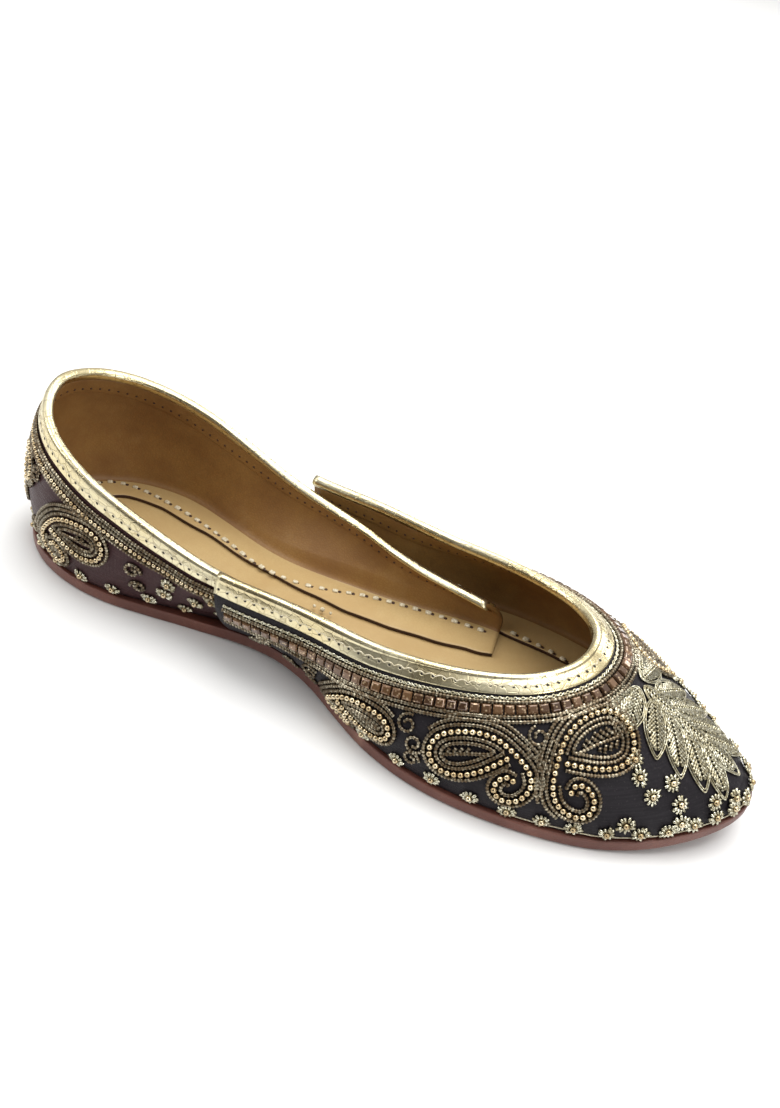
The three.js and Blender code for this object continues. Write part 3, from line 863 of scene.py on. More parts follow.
vamp_shell = grid_piece("vamp_shell", 220, 100, shell_surface(vamp_wall, vamp_place, vamp_flange),
                        uv=shell_uv(VAMP_RUN), zones=shell_zone, ring=True, cap=1)
dress(vamp_shell, "vamp_satin", vamp_satin, lining_leather, edge_dye_and_hole_shade, footbed_leather)
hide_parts("vamp")
quarter_shell = grid_piece("quarter_shell", 240, 100,
                           shell_surface(quarter_wall, quarter_place, quarter_flange),
                           uv=shell_uv(QUARTER_RUN), zones=shell_zone, ring=True, cap=1)
dress(quarter_shell, "quarter_satin", quarter_satin, lining_leather, edge_dye_and_hole_shade, footbed_leather)
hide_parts("quarter")

# %% [markdown]
# ## The gilt bindings
# A strip of foil leather is folded over each top edge and stitched through. Outside it lies flat for about
# six millimetres; over the edge it rolls round a cord, which makes the bright bead that outlines the
# opening. Inside, a plain tan facing covers the raw edges, with its own line of holes.

# %% Bindings and facings

# down from the top edge, and out from the wall's outer face, in mm
BAND_STOPS = np.array([0, 0.06, 0.12, 0.17, 0.22, 0.27, 0.32, 0.38,
                       0.44, 0.55, 0.68, 0.74, 0.76, 0.8, 0.9, 1.0])
BAND_SECTION = np.array([
    [2.2, -2.35], [1.2, -2.6], [0.2, -2.72], [-0.7, -2.2], [-1.12, -1.2], [-1.0, -0.1], [-0.35, 0.62],
    [0.7, 0.86], [1.25, 0.56], [3.2, 0.68], [5.7, 0.6], [6.1, 0.42], [6.15, 0.12], [5.8, 0.04], [1.0, 0.04],
    [2.2, -2.35],
])


def vamp_taper(place):
    """The outer leg's width, as a share: full at the throat and narrower along the wings."""
    return 1 - 0.08 * ease(5.5, 10, np.abs(place))


def quarter_taper(place):
    return 0.9 + 0 * place


def strip_surface(wall, place_of, stops, section, taper=None, trim=0.0):
    def surface(a, b):
        spot, place = polyline(stops, section, b), place_of(trim + a * (1 - 2 * trim))
        leg = taper(place) if taper else 1.0
        outer_leg = (b > 0.44) & (b < 0.9) & (spot[:, 0] > 1.25)
        down = np.where(outer_leg, 1.25 + (spot[:, 0] - 1.25) * leg, spot[:, 0])
        return wall.at(place, down, spot[:, 1])
    return surface


def strip_uv(run, stops, section, trim=0.0):
    def uv(a, b):
        return run_at(run, trim + a * (1 - 2 * trim)), float(np.interp(b, stops, section[:, 0]))
    return uv


for name, wall, place_of, run, taper, cad in (
        ("vamp_band", vamp_wall, vamp_place, VAMP_RUN, vamp_taper, "vamp_binding"),
        ("quarter_band", quarter_wall, quarter_place, QUARTER_RUN, quarter_taper, "quarter_binding")):
    band = grid_piece(name, 240, 60, strip_surface(wall, place_of, BAND_STOPS, BAND_SECTION, taper),
                      uv=strip_uv(run, BAND_STOPS, BAND_SECTION), ring=True)
    dress(band, "binding_leather", gold_foil)
    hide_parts(cad)

# %% [markdown]
# ## Threads and wires
# Zardozi work is couched: a thread, or a hollow coil of fine wire called dabka, is laid on the cloth and
# tied down. Each one is a curve with a round bevel. A coil's turns show as ribs, so its curve carries a
# radius at every point that swells and shrinks along the way. The curve is then made a mesh and sits, like
# every other piece, with its place in its vertices.

# %% From paths to tubes


def curve_through(points, step):
    """A smooth line through charted points, with even steps."""
    points = np.asarray(points, float)
    ends = np.vstack([2 * points[0] - points[1], points, 2 * points[-1] - points[-2]])
    out = []
    for k in range(1, len(ends) - 2):
        a, b, c, d = ends[k - 1:k + 3]
        t = np.linspace(0, 1, 12, endpoint=False)[:, None]
        out.append(0.5 * (2 * b + (c - a) * t + (2 * a - 5 * b + 4 * c - d) * t**2
                          + (3 * b - a - 3 * c + d) * t**3))
    return evenly(np.vstack(out + [points[-1:]]), step)


def evenly(points, step):
    """Even steps along a line. Columns past the third, such as a normal, are carried along."""
    run = np.concatenate([[0], np.cumsum(np.linalg.norm(np.diff(points[:, :3], axis=0), axis=1))])
    count = max(2, int(round(run[-1] / step)) + 1)
    return np.stack([np.interp(np.linspace(0, run[-1], count), run, column) for column in points.T], -1)


def both_sides(paths):
    """The same work on the other side, up to 0.45 mm off the cloth, because the creases differ there."""
    flip = np.array([1, -1, 1])
    return paths + [(p * flip, n * flip) for p, n in paths]


def tubes(name, paths, radius, rib=0.0, depth=0.25, sit=0.8, sides=1):
    """Round strands along laid paths. rib is the length of one turn of coil, or 0 for a plain thread."""
    curve = bpy.data.curves.new(name, "CURVE")
    curve.dimensions, curve.bevel_depth, curve.bevel_resolution = "3D", radius * MM, sides
    counts = []
    for path in paths:
        joined = np.hstack(path)
        even = evenly(joined, rib / 2 if rib else radius * 2.2)
        line = (even[:, :3] + even[:, 3:] * radius * sit) * MM
        spline = curve.splines.new("POLY")
        spline.points.add(len(line) - 1)
        counts.append(len(line))
        spline.points.foreach_set("co", np.hstack([line, np.ones((len(line), 1))]).ravel())
        swell = np.where(np.arange(len(line)) % 2 == 0, 1.0, 1.0 - depth) if rib else np.ones(len(line))
        spline.points.foreach_set("radius", swell)
    bent = bpy.data.objects.new(name + "_curve", curve)
    bpy.context.scene.collection.objects.link(bent)
    bpy.context.view_layer.update()
    mesh = bpy.data.meshes.new_from_object(bent.evaluated_get(bpy.context.evaluated_depsgraph_get()))
    bpy.data.objects.remove(bent)
    across = len(mesh.vertices) // sum(counts)
    if rib:
        # the valleys between turns are marked as "groove", and the wire's material paints shade there
        valley = np.concatenate([np.repeat(np.arange(n) % 2, across) for n in counts]).astype(np.float32)
        mesh.attributes.new("groove", "FLOAT", "POINT").data.foreach_set("value", valley)
    bm = bmesh.new()
    bm.from_mesh(mesh)
    bpy.data.meshes.remove(mesh)
    bmesh.ops.holes_fill(bm, edges=open_edges(bm), sides=across)
    bmesh.ops.recalc_face_normals(bm, faces=bm.faces)
    for face in bm.faces:
        face.smooth = True
    return finish_piece(name, bm)


# %% [markdown]
# ## Small shapes, set many times
# Beads, stones, petals and stitches are each made once by an operator, with only a few dozen faces, then
# set on the cloth at every spot. The copies are joined into one mesh, and each carries a number of its own,
# `tint`, so the material can make one bead a little darker than the next.

# %% One shape on many spots

rng = np.random.default_rng(7)


def small_shape(build):
    bm = bmesh.new()
    build(bm)
    bmesh.ops.recalc_face_normals(bm, faces=bm.faces)
    bm.verts.index_update()
    corners = np.array([v.co for v in bm.verts])
    faces = [[v.index for v in f.verts] for f in bm.faces]
    bm.free()
    return corners, faces


def frames_on(points, normals, heads):
    """Right-handed frames: x along heads, z along normals."""
    z = normals / np.linalg.norm(normals, axis=1, keepdims=True)
    x = heads - z * np.sum(heads * z, axis=1, keepdims=True)
    x /= np.linalg.norm(x, axis=1, keepdims=True)
    return np.stack([x, np.cross(z, x), z], axis=2)


def set_many(name, shape, points, frames, sizes, smooth=True):
    """sizes is one number, or one per spot, in mm per unit of the shape."""
    corners, faces = shape
    sizes = np.broadcast_to(np.asarray(sizes, float), (len(points),))
    spread = np.einsum("nij,kj->nki", frames, corners) * sizes[:, None, None] + points[:, None, :]
    mesh = bpy.data.meshes.new(name)
    joined = [[v + k * len(corners) for v in face] for k in range(len(points)) for face in faces]
    mesh.from_pydata((spread.reshape(-1, 3) * MM).tolist(), [], joined)
    tint = mesh.attributes.new("tint", "FLOAT", "POINT")
    tint.data.foreach_set("value", np.repeat(rng.random(len(points)), len(corners)).astype(np.float32))
    if smooth:
        mesh.shade_smooth()
    piece = bpy.data.objects.new(name, mesh)
    bpy.context.scene.collection.objects.link(piece)
    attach(piece, "root")
    return piece


def build_bead(bm):
    bmesh.ops.create_uvsphere(bm, u_segments=8, v_segments=6, radius=1.0)


def build_stone(bm):
    """A square-cut stone: a cube whose upper face is drawn in twice, for a girdle, facets and a table."""
    bmesh.ops.create_cube(bm, size=2.0, matrix=Matrix.Diagonal((1, 1, 0.35, 1)))
    top = [f for f in bm.faces if f.normal.z > 0.5]
    bmesh.ops.inset_region(bm, faces=top, thickness=0.34, depth=0.32)
    top = [f for f in bm.faces if f.normal.z > 0.9]
    bmesh.ops.inset_region(bm, faces=top, thickness=0.24, depth=0.08)
    bmesh.ops.translate(bm, verts=bm.verts, vec=(0, 0, 0.35))


def build_petal(bm):
    """One short loop of wire that stands round a flower's bead, lying out along x."""
    bmesh.ops.create_cone(bm, cap_ends=True, segments=5, radius1=0.36, radius2=0.3, depth=1.0,
                          matrix=Matrix.Translation((1.3, 0, 0.28))
                          @ Matrix.Rotation(math.radians(98), 4, "Y"))


def build_stitch(bm):
    bmesh.ops.create_cube(bm, size=2.0, matrix=Matrix.Diagonal((1.0, 0.8, 0.45, 1)))
    bmesh.ops.bevel(bm, geom=bm.edges[:], offset=0.3, affect="EDGES", segments=1, profile=0.5, material=-1)


BEAD, STONE, PETAL, STITCH = (small_shape(b) for b in (build_bead, build_stone, build_petal, build_stitch))
print("faces: bead", len(BEAD[1]), "stone", len(STONE[1]), "petal", len(PETAL[1]))

# %% [markdown]
# ## Laying a drawn pattern on curved cloth
# An embroiderer pricks a paper drawing through onto the cloth. Here a drawing in flat millimetres is laid
# by walking: from the motif's centre, each drawn point is reached in a few short steps over the surface,
# turning with it. Distances from the centre stay true, so a paisley keeps its shape over the curve.

# %% Walking over the cloth


def cloth_of(wall, place_of):
    bm = bmesh.new()
    bmesh.ops.create_grid(bm, x_segments=260, y_segments=50, size=0.5)
    ab = np.array([v.co[:2] for v in bm.verts]) + 0.5
    place = place_of(ab[:, 0])
    points = lifted(wall.at(place, wall.height(place) * (ab[:, 1] * 1.04 - 0.02)))
    for vert, point in zip(bm.verts, points):
        vert.co = point
    bm.normal_update()
    tree = BVHTree.FromBMesh(bm)
    bm.free()
    return tree


class Cloth:
    """A wall with a walkable surface. Drawings are laid on its right side."""

    def __init__(self, wall, place_of):
        self.wall, self.tree = wall, cloth_of(wall, place_of)

    def spot(self, place, down):
        """A point on the right side, its outward normal, the way to the toe and the way up."""
        here = lifted(self.wall.at(np.array([-abs(place)]), np.array([float(down)])))[0]
        above = lifted(self.wall.at(np.array([-abs(place)]), np.array([down - 0.5])))[0]
        normal = skin_normal(np.array([-abs(place)]), self.wall.up_at(np.array([-abs(place)]), down))[0]
        up = Vector(above - here).normalized()
        normal = Vector(normal)
        up = (up - normal * up.dot(normal)).normalized()
        return Vector(here), normal, up.cross(normal).normalized(), up

    def lay(self, drawing, place, down, turn=0.0, size=1.0, mirror=False):
        """Points and normals for a flat drawing: x towards the toe and y up, about its centre."""
        start, normal, ahead, up = self.spot(place, down)
        c, s = math.cos(math.radians(turn)), math.sin(math.radians(turn))
        points, normals = [], []
        for x, y in np.asarray(drawing, float) * size:
            x = -x if mirror else x
            x, y = c * x - s * y, s * x + c * y
            points.append(self.walk(start, normal, ahead * x + up * y))
            normals.append(points[-1][1])
            points[-1] = points[-1][0]
        return np.array(points), np.array(normals)

    def walk(self, start, normal, way):
        length = way.length
        steps = max(1, int(math.ceil(length / 3.0)))
        here, heading = start, way
        for _ in range(steps):
            target = here + heading.normalized() * (length / steps) if length > 0 else here
            found, facing, _, _ = self.tree.find_nearest(target)
            facing = facing if facing.dot(normal) > 0 else -facing
            turned = normal.rotation_difference(facing)
            heading = heading.copy()
            heading.rotate(turned)
            here, normal = found, facing
        return tuple(here), tuple(normal)

    def row(self, places, down, count=400):
        """A path that keeps its distance from the top edge, over a signed range of places."""
        place = np.linspace(places[0], places[1], count)
        depth = down(np.abs(place)) if callable(down) else 0 * place + down
        points = lifted(self.wall.at(place, depth))
        return points, skin_normal(place, self.wall.up_at(place, depth))


vamp_cloth = Cloth(vamp_wall, vamp_place)
quarter_cloth = Cloth(quarter_wall, quarter_place)
print("cloths ready")

# %% [markdown]
# ## Wire, bead and stone finishes
# The wire is brass drawn fine and left to dull: pale champagne where it is rubbed, brown where it is not.
# The valleys between a coil's turns are darkened, which is a painted shade.
# Beads are the same gilt, polished. The stones are foil-backed glass, so they are modelled as a glossy
# brown body with metal behind it rather than as clear glass, which is how such stones look on a shoe. Pale
# flecks in their colour are painted glints.

# %% Metal-work materials


def tinted_metal(name, bright, dark, rough_low, rough_high, grain=0.9, groove_shade=0.8):
    material, tree, shader = new_material(name)
    where = node(tree, "ShaderNodeTexCoord").outputs["Object"]
    patches = node(tree, "ShaderNodeTexNoise", {"Vector": where, "Scale": 1000.0 / grain, "Detail": 3.0})
    drift = node(tree, "ShaderNodeTexNoise", {"Vector": where, "Scale": 60.0, "Detail": 2.0})
    tint = node(tree, "ShaderNodeAttribute", attribute_name="tint").outputs["Fac"]
    share = ramp(tree, patches.outputs[0], 0.38, 0.66)
    share = maths(tree, "ADD", maths(tree, "MULTIPLY", share, 0.6), maths(tree, "MULTIPLY", tint, 0.25))
    share = maths(tree, "ADD", share, ramp(tree, drift.outputs[0], 0.3, 0.7, -0.1, 0.25))
    share = ramp(tree, share, 0.0, 1.0)
    groove = node(tree, "ShaderNodeAttribute", attribute_name="groove").outputs["Fac"]
    # grooves between the coil's turns darken towards near-black: painted shade
    tone = blend(tree, maths(tree, "MULTIPLY", groove, groove_shade), blend(tree, share, dark, bright),
                 (0.02, 0.013, 0.007, 1))
    tree.links.new(tone, shader.inputs["Base Color"])
    tree.links.new(ramp(tree, share, 0.0, 1.0, rough_high, rough_low), shader.inputs["Roughness"])
    shader.inputs["Metallic"].default_value = 1.0
    return material


coil_wire = tinted_metal("dulled_coil_wire", (0.66, 0.60, 0.45, 1), (0.17, 0.12, 0.07, 1), 0.2, 0.42)
bright_wire = tinted_metal("bright_coil_wire", (0.86, 0.84, 0.68, 1), (0.34, 0.3, 0.19, 1), 0.16, 0.34,
                           groove_shade=0.5)
gilt_bead = tinted_metal("gilt_bead", (0.78, 0.67, 0.46, 1), (0.42, 0.31, 0.17, 1), 0.12, 0.26, grain=2.5)


def stone_glass():
    material, tree, shader = new_material("topaz_stone")
    tint = node(tree, "ShaderNodeAttribute", attribute_name="tint").outputs["Fac"]
    where = node(tree, "ShaderNodeTexCoord").outputs["Object"]
    veins = node(tree, "ShaderNodeTexVoronoi", {"Vector": where, "Scale": 900.0})
    tone = blend(tree, tint, (0.07, 0.032, 0.014, 1), (0.22, 0.118, 0.055, 1))
    # pale flecks from the cells are painted glints on the stones
    painted_glint_mask = ramp(tree, veins.outputs["Distance"], 0.06, 0.4, 0.75, 0.0)
    tone = blend(tree, painted_glint_mask, tone, (0.78, 0.58, 0.36, 1))
    tree.links.new(tone, shader.inputs["Base Color"])
    tree.links.new(ramp(tree, tint, 0.0, 1.0, 0.06, 0.16), shader.inputs["Roughness"])
    shader.inputs["Metallic"].default_value = 0.5
    shader.inputs["Coat Weight"].default_value = 1.0
    shader.inputs["Coat Roughness"].default_value = 0.04
    return material


def waxed_thread(name, light, dark):
    material, tree, shader = new_material(name)
    where = node(tree, "ShaderNodeTexCoord").outputs["Object"]
    fibres = node(tree, "ShaderNodeTexNoise", {"Vector": where, "Scale": 1600.0, "Detail": 2.0})
    tree.links.new(blend(tree, ramp(tree, fibres.outputs[0], 0.35, 0.65), dark, light),
                   shader.inputs["Base Color"])
    tree.links.new(ramp(tree, fibres.outputs[0], 0.3, 0.7, 0.7, 0.5), shader.inputs["Roughness"])
    bump(tree, shader, fibres.outputs[0], 0.4, 0.05)
    return material


topaz = stone_glass()
pale_thread = waxed_thread("pale_thread", (0.72, 0.66, 0.5, 1), (0.5, 0.43, 0.28, 1))
print("metal, stone and thread ready")

# %% [markdown]
# ## The border under the vamp's binding
# Going down from the gilt edge: a chain of thin bright thread, a coil, a row of square stones, and two more
# coils. At the wings the rows stand a little further off the binding and a strip of plain satin shows, so
# each row's distance grows towards the wings.

# %% Border rows


def vamp_gap(place):
    return 1.6 * ease(9.0, 12.5, place)


def vamp_row(down, trim=0.25):
    ends = vamp_wall.end - trim
    return vamp_cloth.row((-ends, ends), lambda p: down + vamp_gap(p), 900)


def zigzag(path, pitch, width):
    """A chain stitch: the laid path swings from side to side."""
    points, normals = path
    joined = evenly(np.hstack([points, normals]), pitch / 4)
    points, normals = joined[:, :3], joined[:, 3:]
    heads = np.gradient(points, axis=0)
    across = np.cross(normals, heads)
    across /= np.linalg.norm(across, axis=1, keepdims=True)
    swing = np.sin(np.arange(len(points)) * math.pi / 2) * width
    return points + across * swing[:, None], normals


VAMP_TRIM = 6.4
border = tubes("vamp_border_chain", [zigzag(vamp_row(VAMP_TRIM + 0.8), 2.2, 0.45),
                                     zigzag(vamp_row(VAMP_TRIM + 1.0), 2.2, -0.45)], 0.26, sit=0.9)
dress(border, "coil_wire", bright_wire)
border = tubes("vamp_border_coils", [vamp_row(VAMP_TRIM + d) for d in (2.1, 6.4, 7.9)], 0.78, rib=1.05,
               depth=0.42)
dress(border, "coil_wire", coil_wire)


def spots_along(path, pitch, lift_by):
    points, normals = path
    joined = evenly(np.hstack([points, normals]), pitch)
    points, normals = joined[:, :3], joined[:, 3:]
    heads = np.gradient(points, axis=0)
    return points + normals * lift_by, frames_on(points, normals, heads)


points, frames = spots_along(vamp_row(VAMP_TRIM + 4.3, trim=0.4), 3.25, 0.1)
stones = set_many("vamp_stones", STONE, points, frames, 1.42, smooth=False)
dress(stones, "cut_stone", topaz)

# %% [markdown]
# ## Paisleys
# The paisley is charted once, as the line its beads follow: in from the throat, round the body, over the
# top and down into a curled tail. Coils run outside and inside that line at even distances, and short coils
# fill the body like the veins of a leaf. Turned, scaled and mirrored, the one chart makes every paisley.

# %% The paisley chart

PAISLEY = np.array([[9.5, -1.0], [6.0, -3.0], [1.5, -5.2], [-3.5, -6.4], [-7.8, -5.4], [-10.4, -2.0],
                    [-10.8, 2.0], [-9.2, 5.6], [-6.0, 7.6], [-1.5, 8.0], [3.2, 7.2], [7.2, 5.2], [10.2, 2.2],
                    [13.0, -1.6], [15.0, -5.4], [15.4, -9.4], [13.8, -13.0], [10.6, -15.4], [7.2, -14.8],
                    [5.6, -11.8], [6.4, -8.6], [8.8, -6.8], [10.8, -8.2]])


def beside(line, off, keep=0.93):
    """A line beside another, leaving out any stretch that would come too near it."""
    heads = np.gradient(line, axis=0)
    heads /= np.linalg.norm(heads, axis=1, keepdims=True)
    moved = line + np.stack([-heads[:, 1], heads[:, 0]], -1) * off
    gaps = np.linalg.norm(moved[:, None, :] - line[None, :, :], axis=2).min(axis=1)
    return moved[gaps > abs(off) * keep]


def runs(line, jump):
    """Splits a line wherever it leaps, and drops scraps."""
    breaks = np.where(np.linalg.norm(np.diff(line, axis=0), axis=1) > jump)[0] + 1
    return [part for part in np.split(line, breaks) if len(part) > 4]


def veins(body, midrib):
    """Short coils in pairs that lean off a midrib, as in a leaf, wherever the body leaves room."""
    start, end = np.array(midrib, float)
    along = (end - start) / np.linalg.norm(end - start)
    across = np.array([-along[1], along[0]])
    out = [curve_through([start, (start + end) / 2 + across * 0.3, end], 0.4)]
    for k in np.arange(0.6, np.linalg.norm(end - start), 1.9):
        for side in (1, -1):
            line = start + along * k + np.outer([0.9, 1.8, 2.7, 3.6], across * side + along * 0.75)
            near = np.linalg.norm(line[:, None, :] - body[None, :, :], axis=2).min(axis=1)
            line = line[: int(np.argmax(near < 4.4)) if (near < 4.4).any() else 4]
            if len(line) > 1:
                out.append(evenly(line, 0.4))
    return out


def paisley_lines(wide, tall):
    """Bead line and coils, with the chart drawn wider or taller before the coils are spaced."""
    chart = PAISLEY * [wide, tall]
    beads, body, back = (curve_through(part, 0.4) for part in (chart, chart[:13], chart[7:17]))
    coils = runs(beside(beads, 1.85), 1.2) + runs(beside(body, -1.8), 1.2)
    coils += runs(beside(body, -3.3), 1.2) + [beside(back, 3.35, 0.0), beside(back, 4.8, 0.0)[12:-14]]
    tail = curve_through(chart[14:], 0.4)
    coils += runs(beside(tail, -1.85), 1.2)
    return beads, coils + veins(body, np.array([[-7.2, 0.6], [6.0, 0.4]]) * [wide, tall])


print("paisley: bead line", len(paisley_lines(1, 1)[0]), "points,", len(paisley_lines(1, 1)[1]), "coils")

# %% [markdown]
# ## Paisleys on the vamp
# Three paisleys stand along each side. The chart is drawn once, and each one is turned, mirrored and sized to
# fill the height of cloth where it stands, so the rows follow the curve of the shoe.

# %% Paisleys on the vamp

# place, down, turn, width, height, mirrored
VAMP_PAISLEYS = [(9.2, 22.0, -8.0, 0.95, 0.6, True), (7.0, 24.6, 0.0, 1.08, 0.88, False),
                 (4.15, 25.0, -10.0, 1.05, 1.12, True)]


def paisley_paths(cloth, motifs):
    beads, coils = [], []
    for place, down, turn, wide, tall, mirror in motifs:
        string, others = paisley_lines(wide, tall)
        beads.append(cloth.lay(string, place, down, turn, 1.0, mirror))
        coils += [cloth.lay(line, place, down, turn, 1.0, mirror) for line in others]
    return both_sides(beads), both_sides(coils)


def motif_paths(cloth, motifs, lines):
    out = []
    for place, down, turn, size, mirror in motifs:
        out += [cloth.lay(line, place, down, turn, size, mirror) for line in lines]
    return out


def bead_strings(name, paths, radius, pitch):
    laid = [spots_along(path, pitch, radius * 0.85) for path in paths]
    points, frames = np.vstack([p for p, _ in laid]), np.vstack([f for _, f in laid])
    return set_many(name, BEAD, points, frames, radius)


strings, scrolls = paisley_paths(vamp_cloth, VAMP_PAISLEYS)
dress(bead_strings("vamp_paisley_beads", strings, 1.0, 2.02), "bead_gilt", gilt_bead)
dress(tubes("vamp_paisley_coils", scrolls, 0.75, rib=1.05, depth=0.42), "coil_wire", coil_wire)

# %% [markdown]
# ## The leaf spray on the toe
# Leaves spread from a stem down the middle of the vamp. Each is drawn as a spindle: an outline of two thin
# bright twists, a midrib, and slanting barbs of crimped wire on both sides of it, packed close.

# %% Leaves


def leaf_lines(length, width):
    """Barbs and outline of a leaf that lies along x from 0 to its length."""
    along = np.linspace(0, 1, 40)
    half = width / 2 * np.sin(math.pi * along**0.85) ** 0.75
    rim = np.vstack([np.stack([along * length, half], -1), np.stack([along * length, -half], -1)[::-1]])
    barbs = []
    for x in np.arange(0.8, length - 1.5, 1.2):
        for side in (1, -1):
            reach = np.interp((x + 1.6) / length, along, half) - 0.5
            if reach > 0.5:
                reach *= rng.uniform(0.9, 1.12)
                tip = [x + rng.uniform(0.75, 1.15) * reach + 0.4, side * reach]
                barbs.append(evenly(np.array([[x, side * 0.25], tip]), 0.8))
    return [evenly(rim, 0.8), evenly(rim * [1.07, 1.22] - [0.5, 0], 0.8)], barbs


# base place, base down, turn from straight down the toe, length, width
LEAVES = [(1.0, 16.2, 100.0, 11.5, 6.4), (0.5, 17.2, 74.0, 15.0, 6.8), (0.4, 23.0, 54.0, 17.0, 6.8),
          (0.35, 29.5, 46.0, 18.0, 6.6), (0.3, 36.5, 38.0, 18.0, 6.4), (0.3, 44.0, 30.0, 16.0, 5.8)]
leaf_rims, leaf_barbs = [], []
for place, down, turn, length, width in LEAVES:
    rims, barbs = leaf_lines(length, width)
    # on the right side the way down the toe is -y in a drawing, and a leaf leans back towards the quarter
    leaf_rims += [vamp_cloth.lay(line, place, down, -90.0 - turn, 1.0) for line in rims]
    leaf_barbs += [vamp_cloth.lay(line, place, down, -90.0 - turn, 1.0) for line in barbs]
leaf_rims, leaf_barbs = both_sides(leaf_rims), both_sides(leaf_barbs)
rims, barbs = leaf_lines(15.0, 5.6)
for start in (19.0, 31.0, 43.0):
    leaf_rims += [vamp_cloth.lay(line, 0.02, start, -90.0, 1.0) for line in rims]
    leaf_barbs += [vamp_cloth.lay(line, 0.02, start, -90.0, 1.0) for line in barbs]
dress(tubes("leaf_outlines", leaf_rims, 0.24, sit=2.2), "coil_wire", bright_wire)
dress(tubes("leaf_barbs", leaf_barbs, 0.62, rib=1.0, depth=0.38, sit=1.0), "coil_wire", bright_wire)

# %% [markdown]
# ## Flowers
# Each flower is a bead in a ring of eleven short wires that stand out like lashes. They fill the plain
# satin near the toe and follow the sole's edge all the way round.

# %% Flowers


def flower_spots(cloth, spots):
    laid = [cloth.spot(place, down) for place, down in spots]
    points = np.array([tuple(s[0]) for s in laid])
    normals = np.array([tuple(s[1]) for s in laid])
    return points, normals


def grow_flowers(name, points, normals, size=1.0):
    """Sets the centre beads, then eleven petals round each."""
    heads = np.cross(normals, [0.3, 0.2, 0.93])
    frames = frames_on(points, normals, heads)
    hearts = set_many(name + "_hearts", BEAD, points + normals * 1.0 * size, frames, 0.98 * size)
    dress(hearts, "bead_gilt", gilt_bead)
    spread_points, spread_frames, sizes = [], [], []
    for point, frame_ in zip(points, frames):
        start = rng.random() * math.tau
        for k in range(11):
            angle = start + math.tau * k / 11 + rng.normal(0, 0.06)
            spin = np.array([[math.cos(angle), -math.sin(angle), 0], [math.sin(angle), math.cos(angle), 0],
                             [0, 0, 1]])
            spread_points.append(point + frame_[:, 2] * 0.15)
            spread_frames.append(frame_ @ spin)
            sizes.append(1.5 * size * (1 + rng.normal(0, 0.08)))
    petals = set_many(name + "_petals", PETAL, np.array(spread_points), np.array(spread_frames), sizes)
    dress(petals, "coil_wire", bright_wire)


VAMP_FLOWERS = [(3.45, 37.6), (4.25, 49.6), (3.4, 44.6), (2.75, 51.6), (2.95, 57.2),
                (3.25, 32.4), (2.6, 44.6), (1.75, 58.6), (1.0, 63.0)]
edge_places = [10.0, 9.2, 8.4, 7.7, 7.0, 6.35, 5.75, 5.2, 4.6, 3.95, 3.3, 2.6, 1.9, 1.2, 0.45]
edge_flowers = [(p, float(vamp_wall.height(p)) - 2.9) for p in edge_places]
points, normals = flower_spots(vamp_cloth, VAMP_FLOWERS + edge_flowers)
(points, normals), (far_points, far_normals) = both_sides([(points, normals)])
grow_flowers("vamp_flowers", np.vstack([points, far_points]), np.vstack([normals, far_normals]))

# %% [markdown]
# ## Fillers
# The gaps between the big motifs are filled with little scrolls of the same coil, so hardly any satin
# shows between the border and the paisleys.

# %% Filler scrolls


def scroll(turns=1.3, big=3.4, small=1.0):
    """A short coil curled in on itself."""
    t = np.linspace(0, 1, 30)
    radius = big + (small - big) * t
    angle = turns * math.tau * t
    return evenly(np.stack([radius * np.cos(angle), radius * np.sin(angle)], -1), 0.4)


# place, down, turn, size, mirrored
VAMP_SCROLLS = [(5.5, 18.6, 90, 0.9, False), (5.75, 22.8, -60, 0.75, True), (5.2, 22.6, 60, 0.7, False),
                (5.5, 27.4, 20, 0.6, True), (8.2, 18.6, 60, 0.95, False), (8.05, 24.0, 150, 0.9, True),
                (8.1, 29.3, 0, 0.8, False), (10.6, 19.8, 30, 1.0, False), (11.3, 24.0, 150, 0.95, True),
                (12.0, 20.5, 0, 0.85, False), (2.75, 18.2, 120, 0.85, True), (10.7, 26.0, 0, 0.7, True),
                (12.3, 25.5, 60, 0.8, False), (2.95, 22.5, 40, 0.7, True), (2.2, 17.8, 0, 0.7, False)]
fillers = both_sides(motif_paths(vamp_cloth, VAMP_SCROLLS, [scroll()]))
dress(tubes("vamp_fillers", fillers, 0.62, rib=1.05, depth=0.42), "coil_wire", coil_wire)

# %% [markdown]
# ## The quarter's work
# Round the heel the border is plainer: two coils, a string of small beads and one more coil. Below it lie
# paisleys of the same chart, one lengthwise and one on end, with flowers towards the waist and along the
# edge of the sole.

# %% Quarter rows, paisleys and flowers


def quarter_row(down, first=13.2):
    return quarter_cloth.row((-HEEL, -first), down, 420)


QUARTER_PAISLEYS = [(16.7, 23.2, 6.0, 1.02, 0.84, True), (19.9, 31.0, 84.0, 0.95, 0.85, False)]
QUARTER_SCROLLS = [(18.3, 17.0, 40, 0.9, False), (18.3, 37.5, 0, 0.95, True), (15.3, 19.0, 0, 0.9, False),
                   (20.6, 17.5, 60, 0.8, False), (15.2, 26.5, 0, 0.8, True), (18.6, 22.5, 90, 0.8, True),
                   (17.3, 36.0, 0, 0.7, False)]
rows = both_sides([quarter_row(d) for d in (7.6, 9.1, 12.5)])
dress(tubes("quarter_border_coils", rows, 0.74, rib=1.05, depth=0.42), "coil_wire", coil_wire)
dress(bead_strings("quarter_border_beads", both_sides([quarter_row(10.8)]), 0.8, 1.7), "bead_gilt", gilt_bead)
strings, scrolls = paisley_paths(quarter_cloth, QUARTER_PAISLEYS)
dress(bead_strings("quarter_paisley_beads", strings, 0.95, 1.98), "bead_gilt", gilt_bead)
scrolls += both_sides(motif_paths(quarter_cloth, QUARTER_SCROLLS, [scroll()]))
dress(tubes("quarter_paisley_coils", scrolls, 0.74, rib=1.05, depth=0.42), "coil_wire", coil_wire)
QUARTER_FLOWERS = [(14.5, 17.0), (14.6, 23.5), (13.9, 20.6), (13.5, 15.6), (13.3, 25.0)]
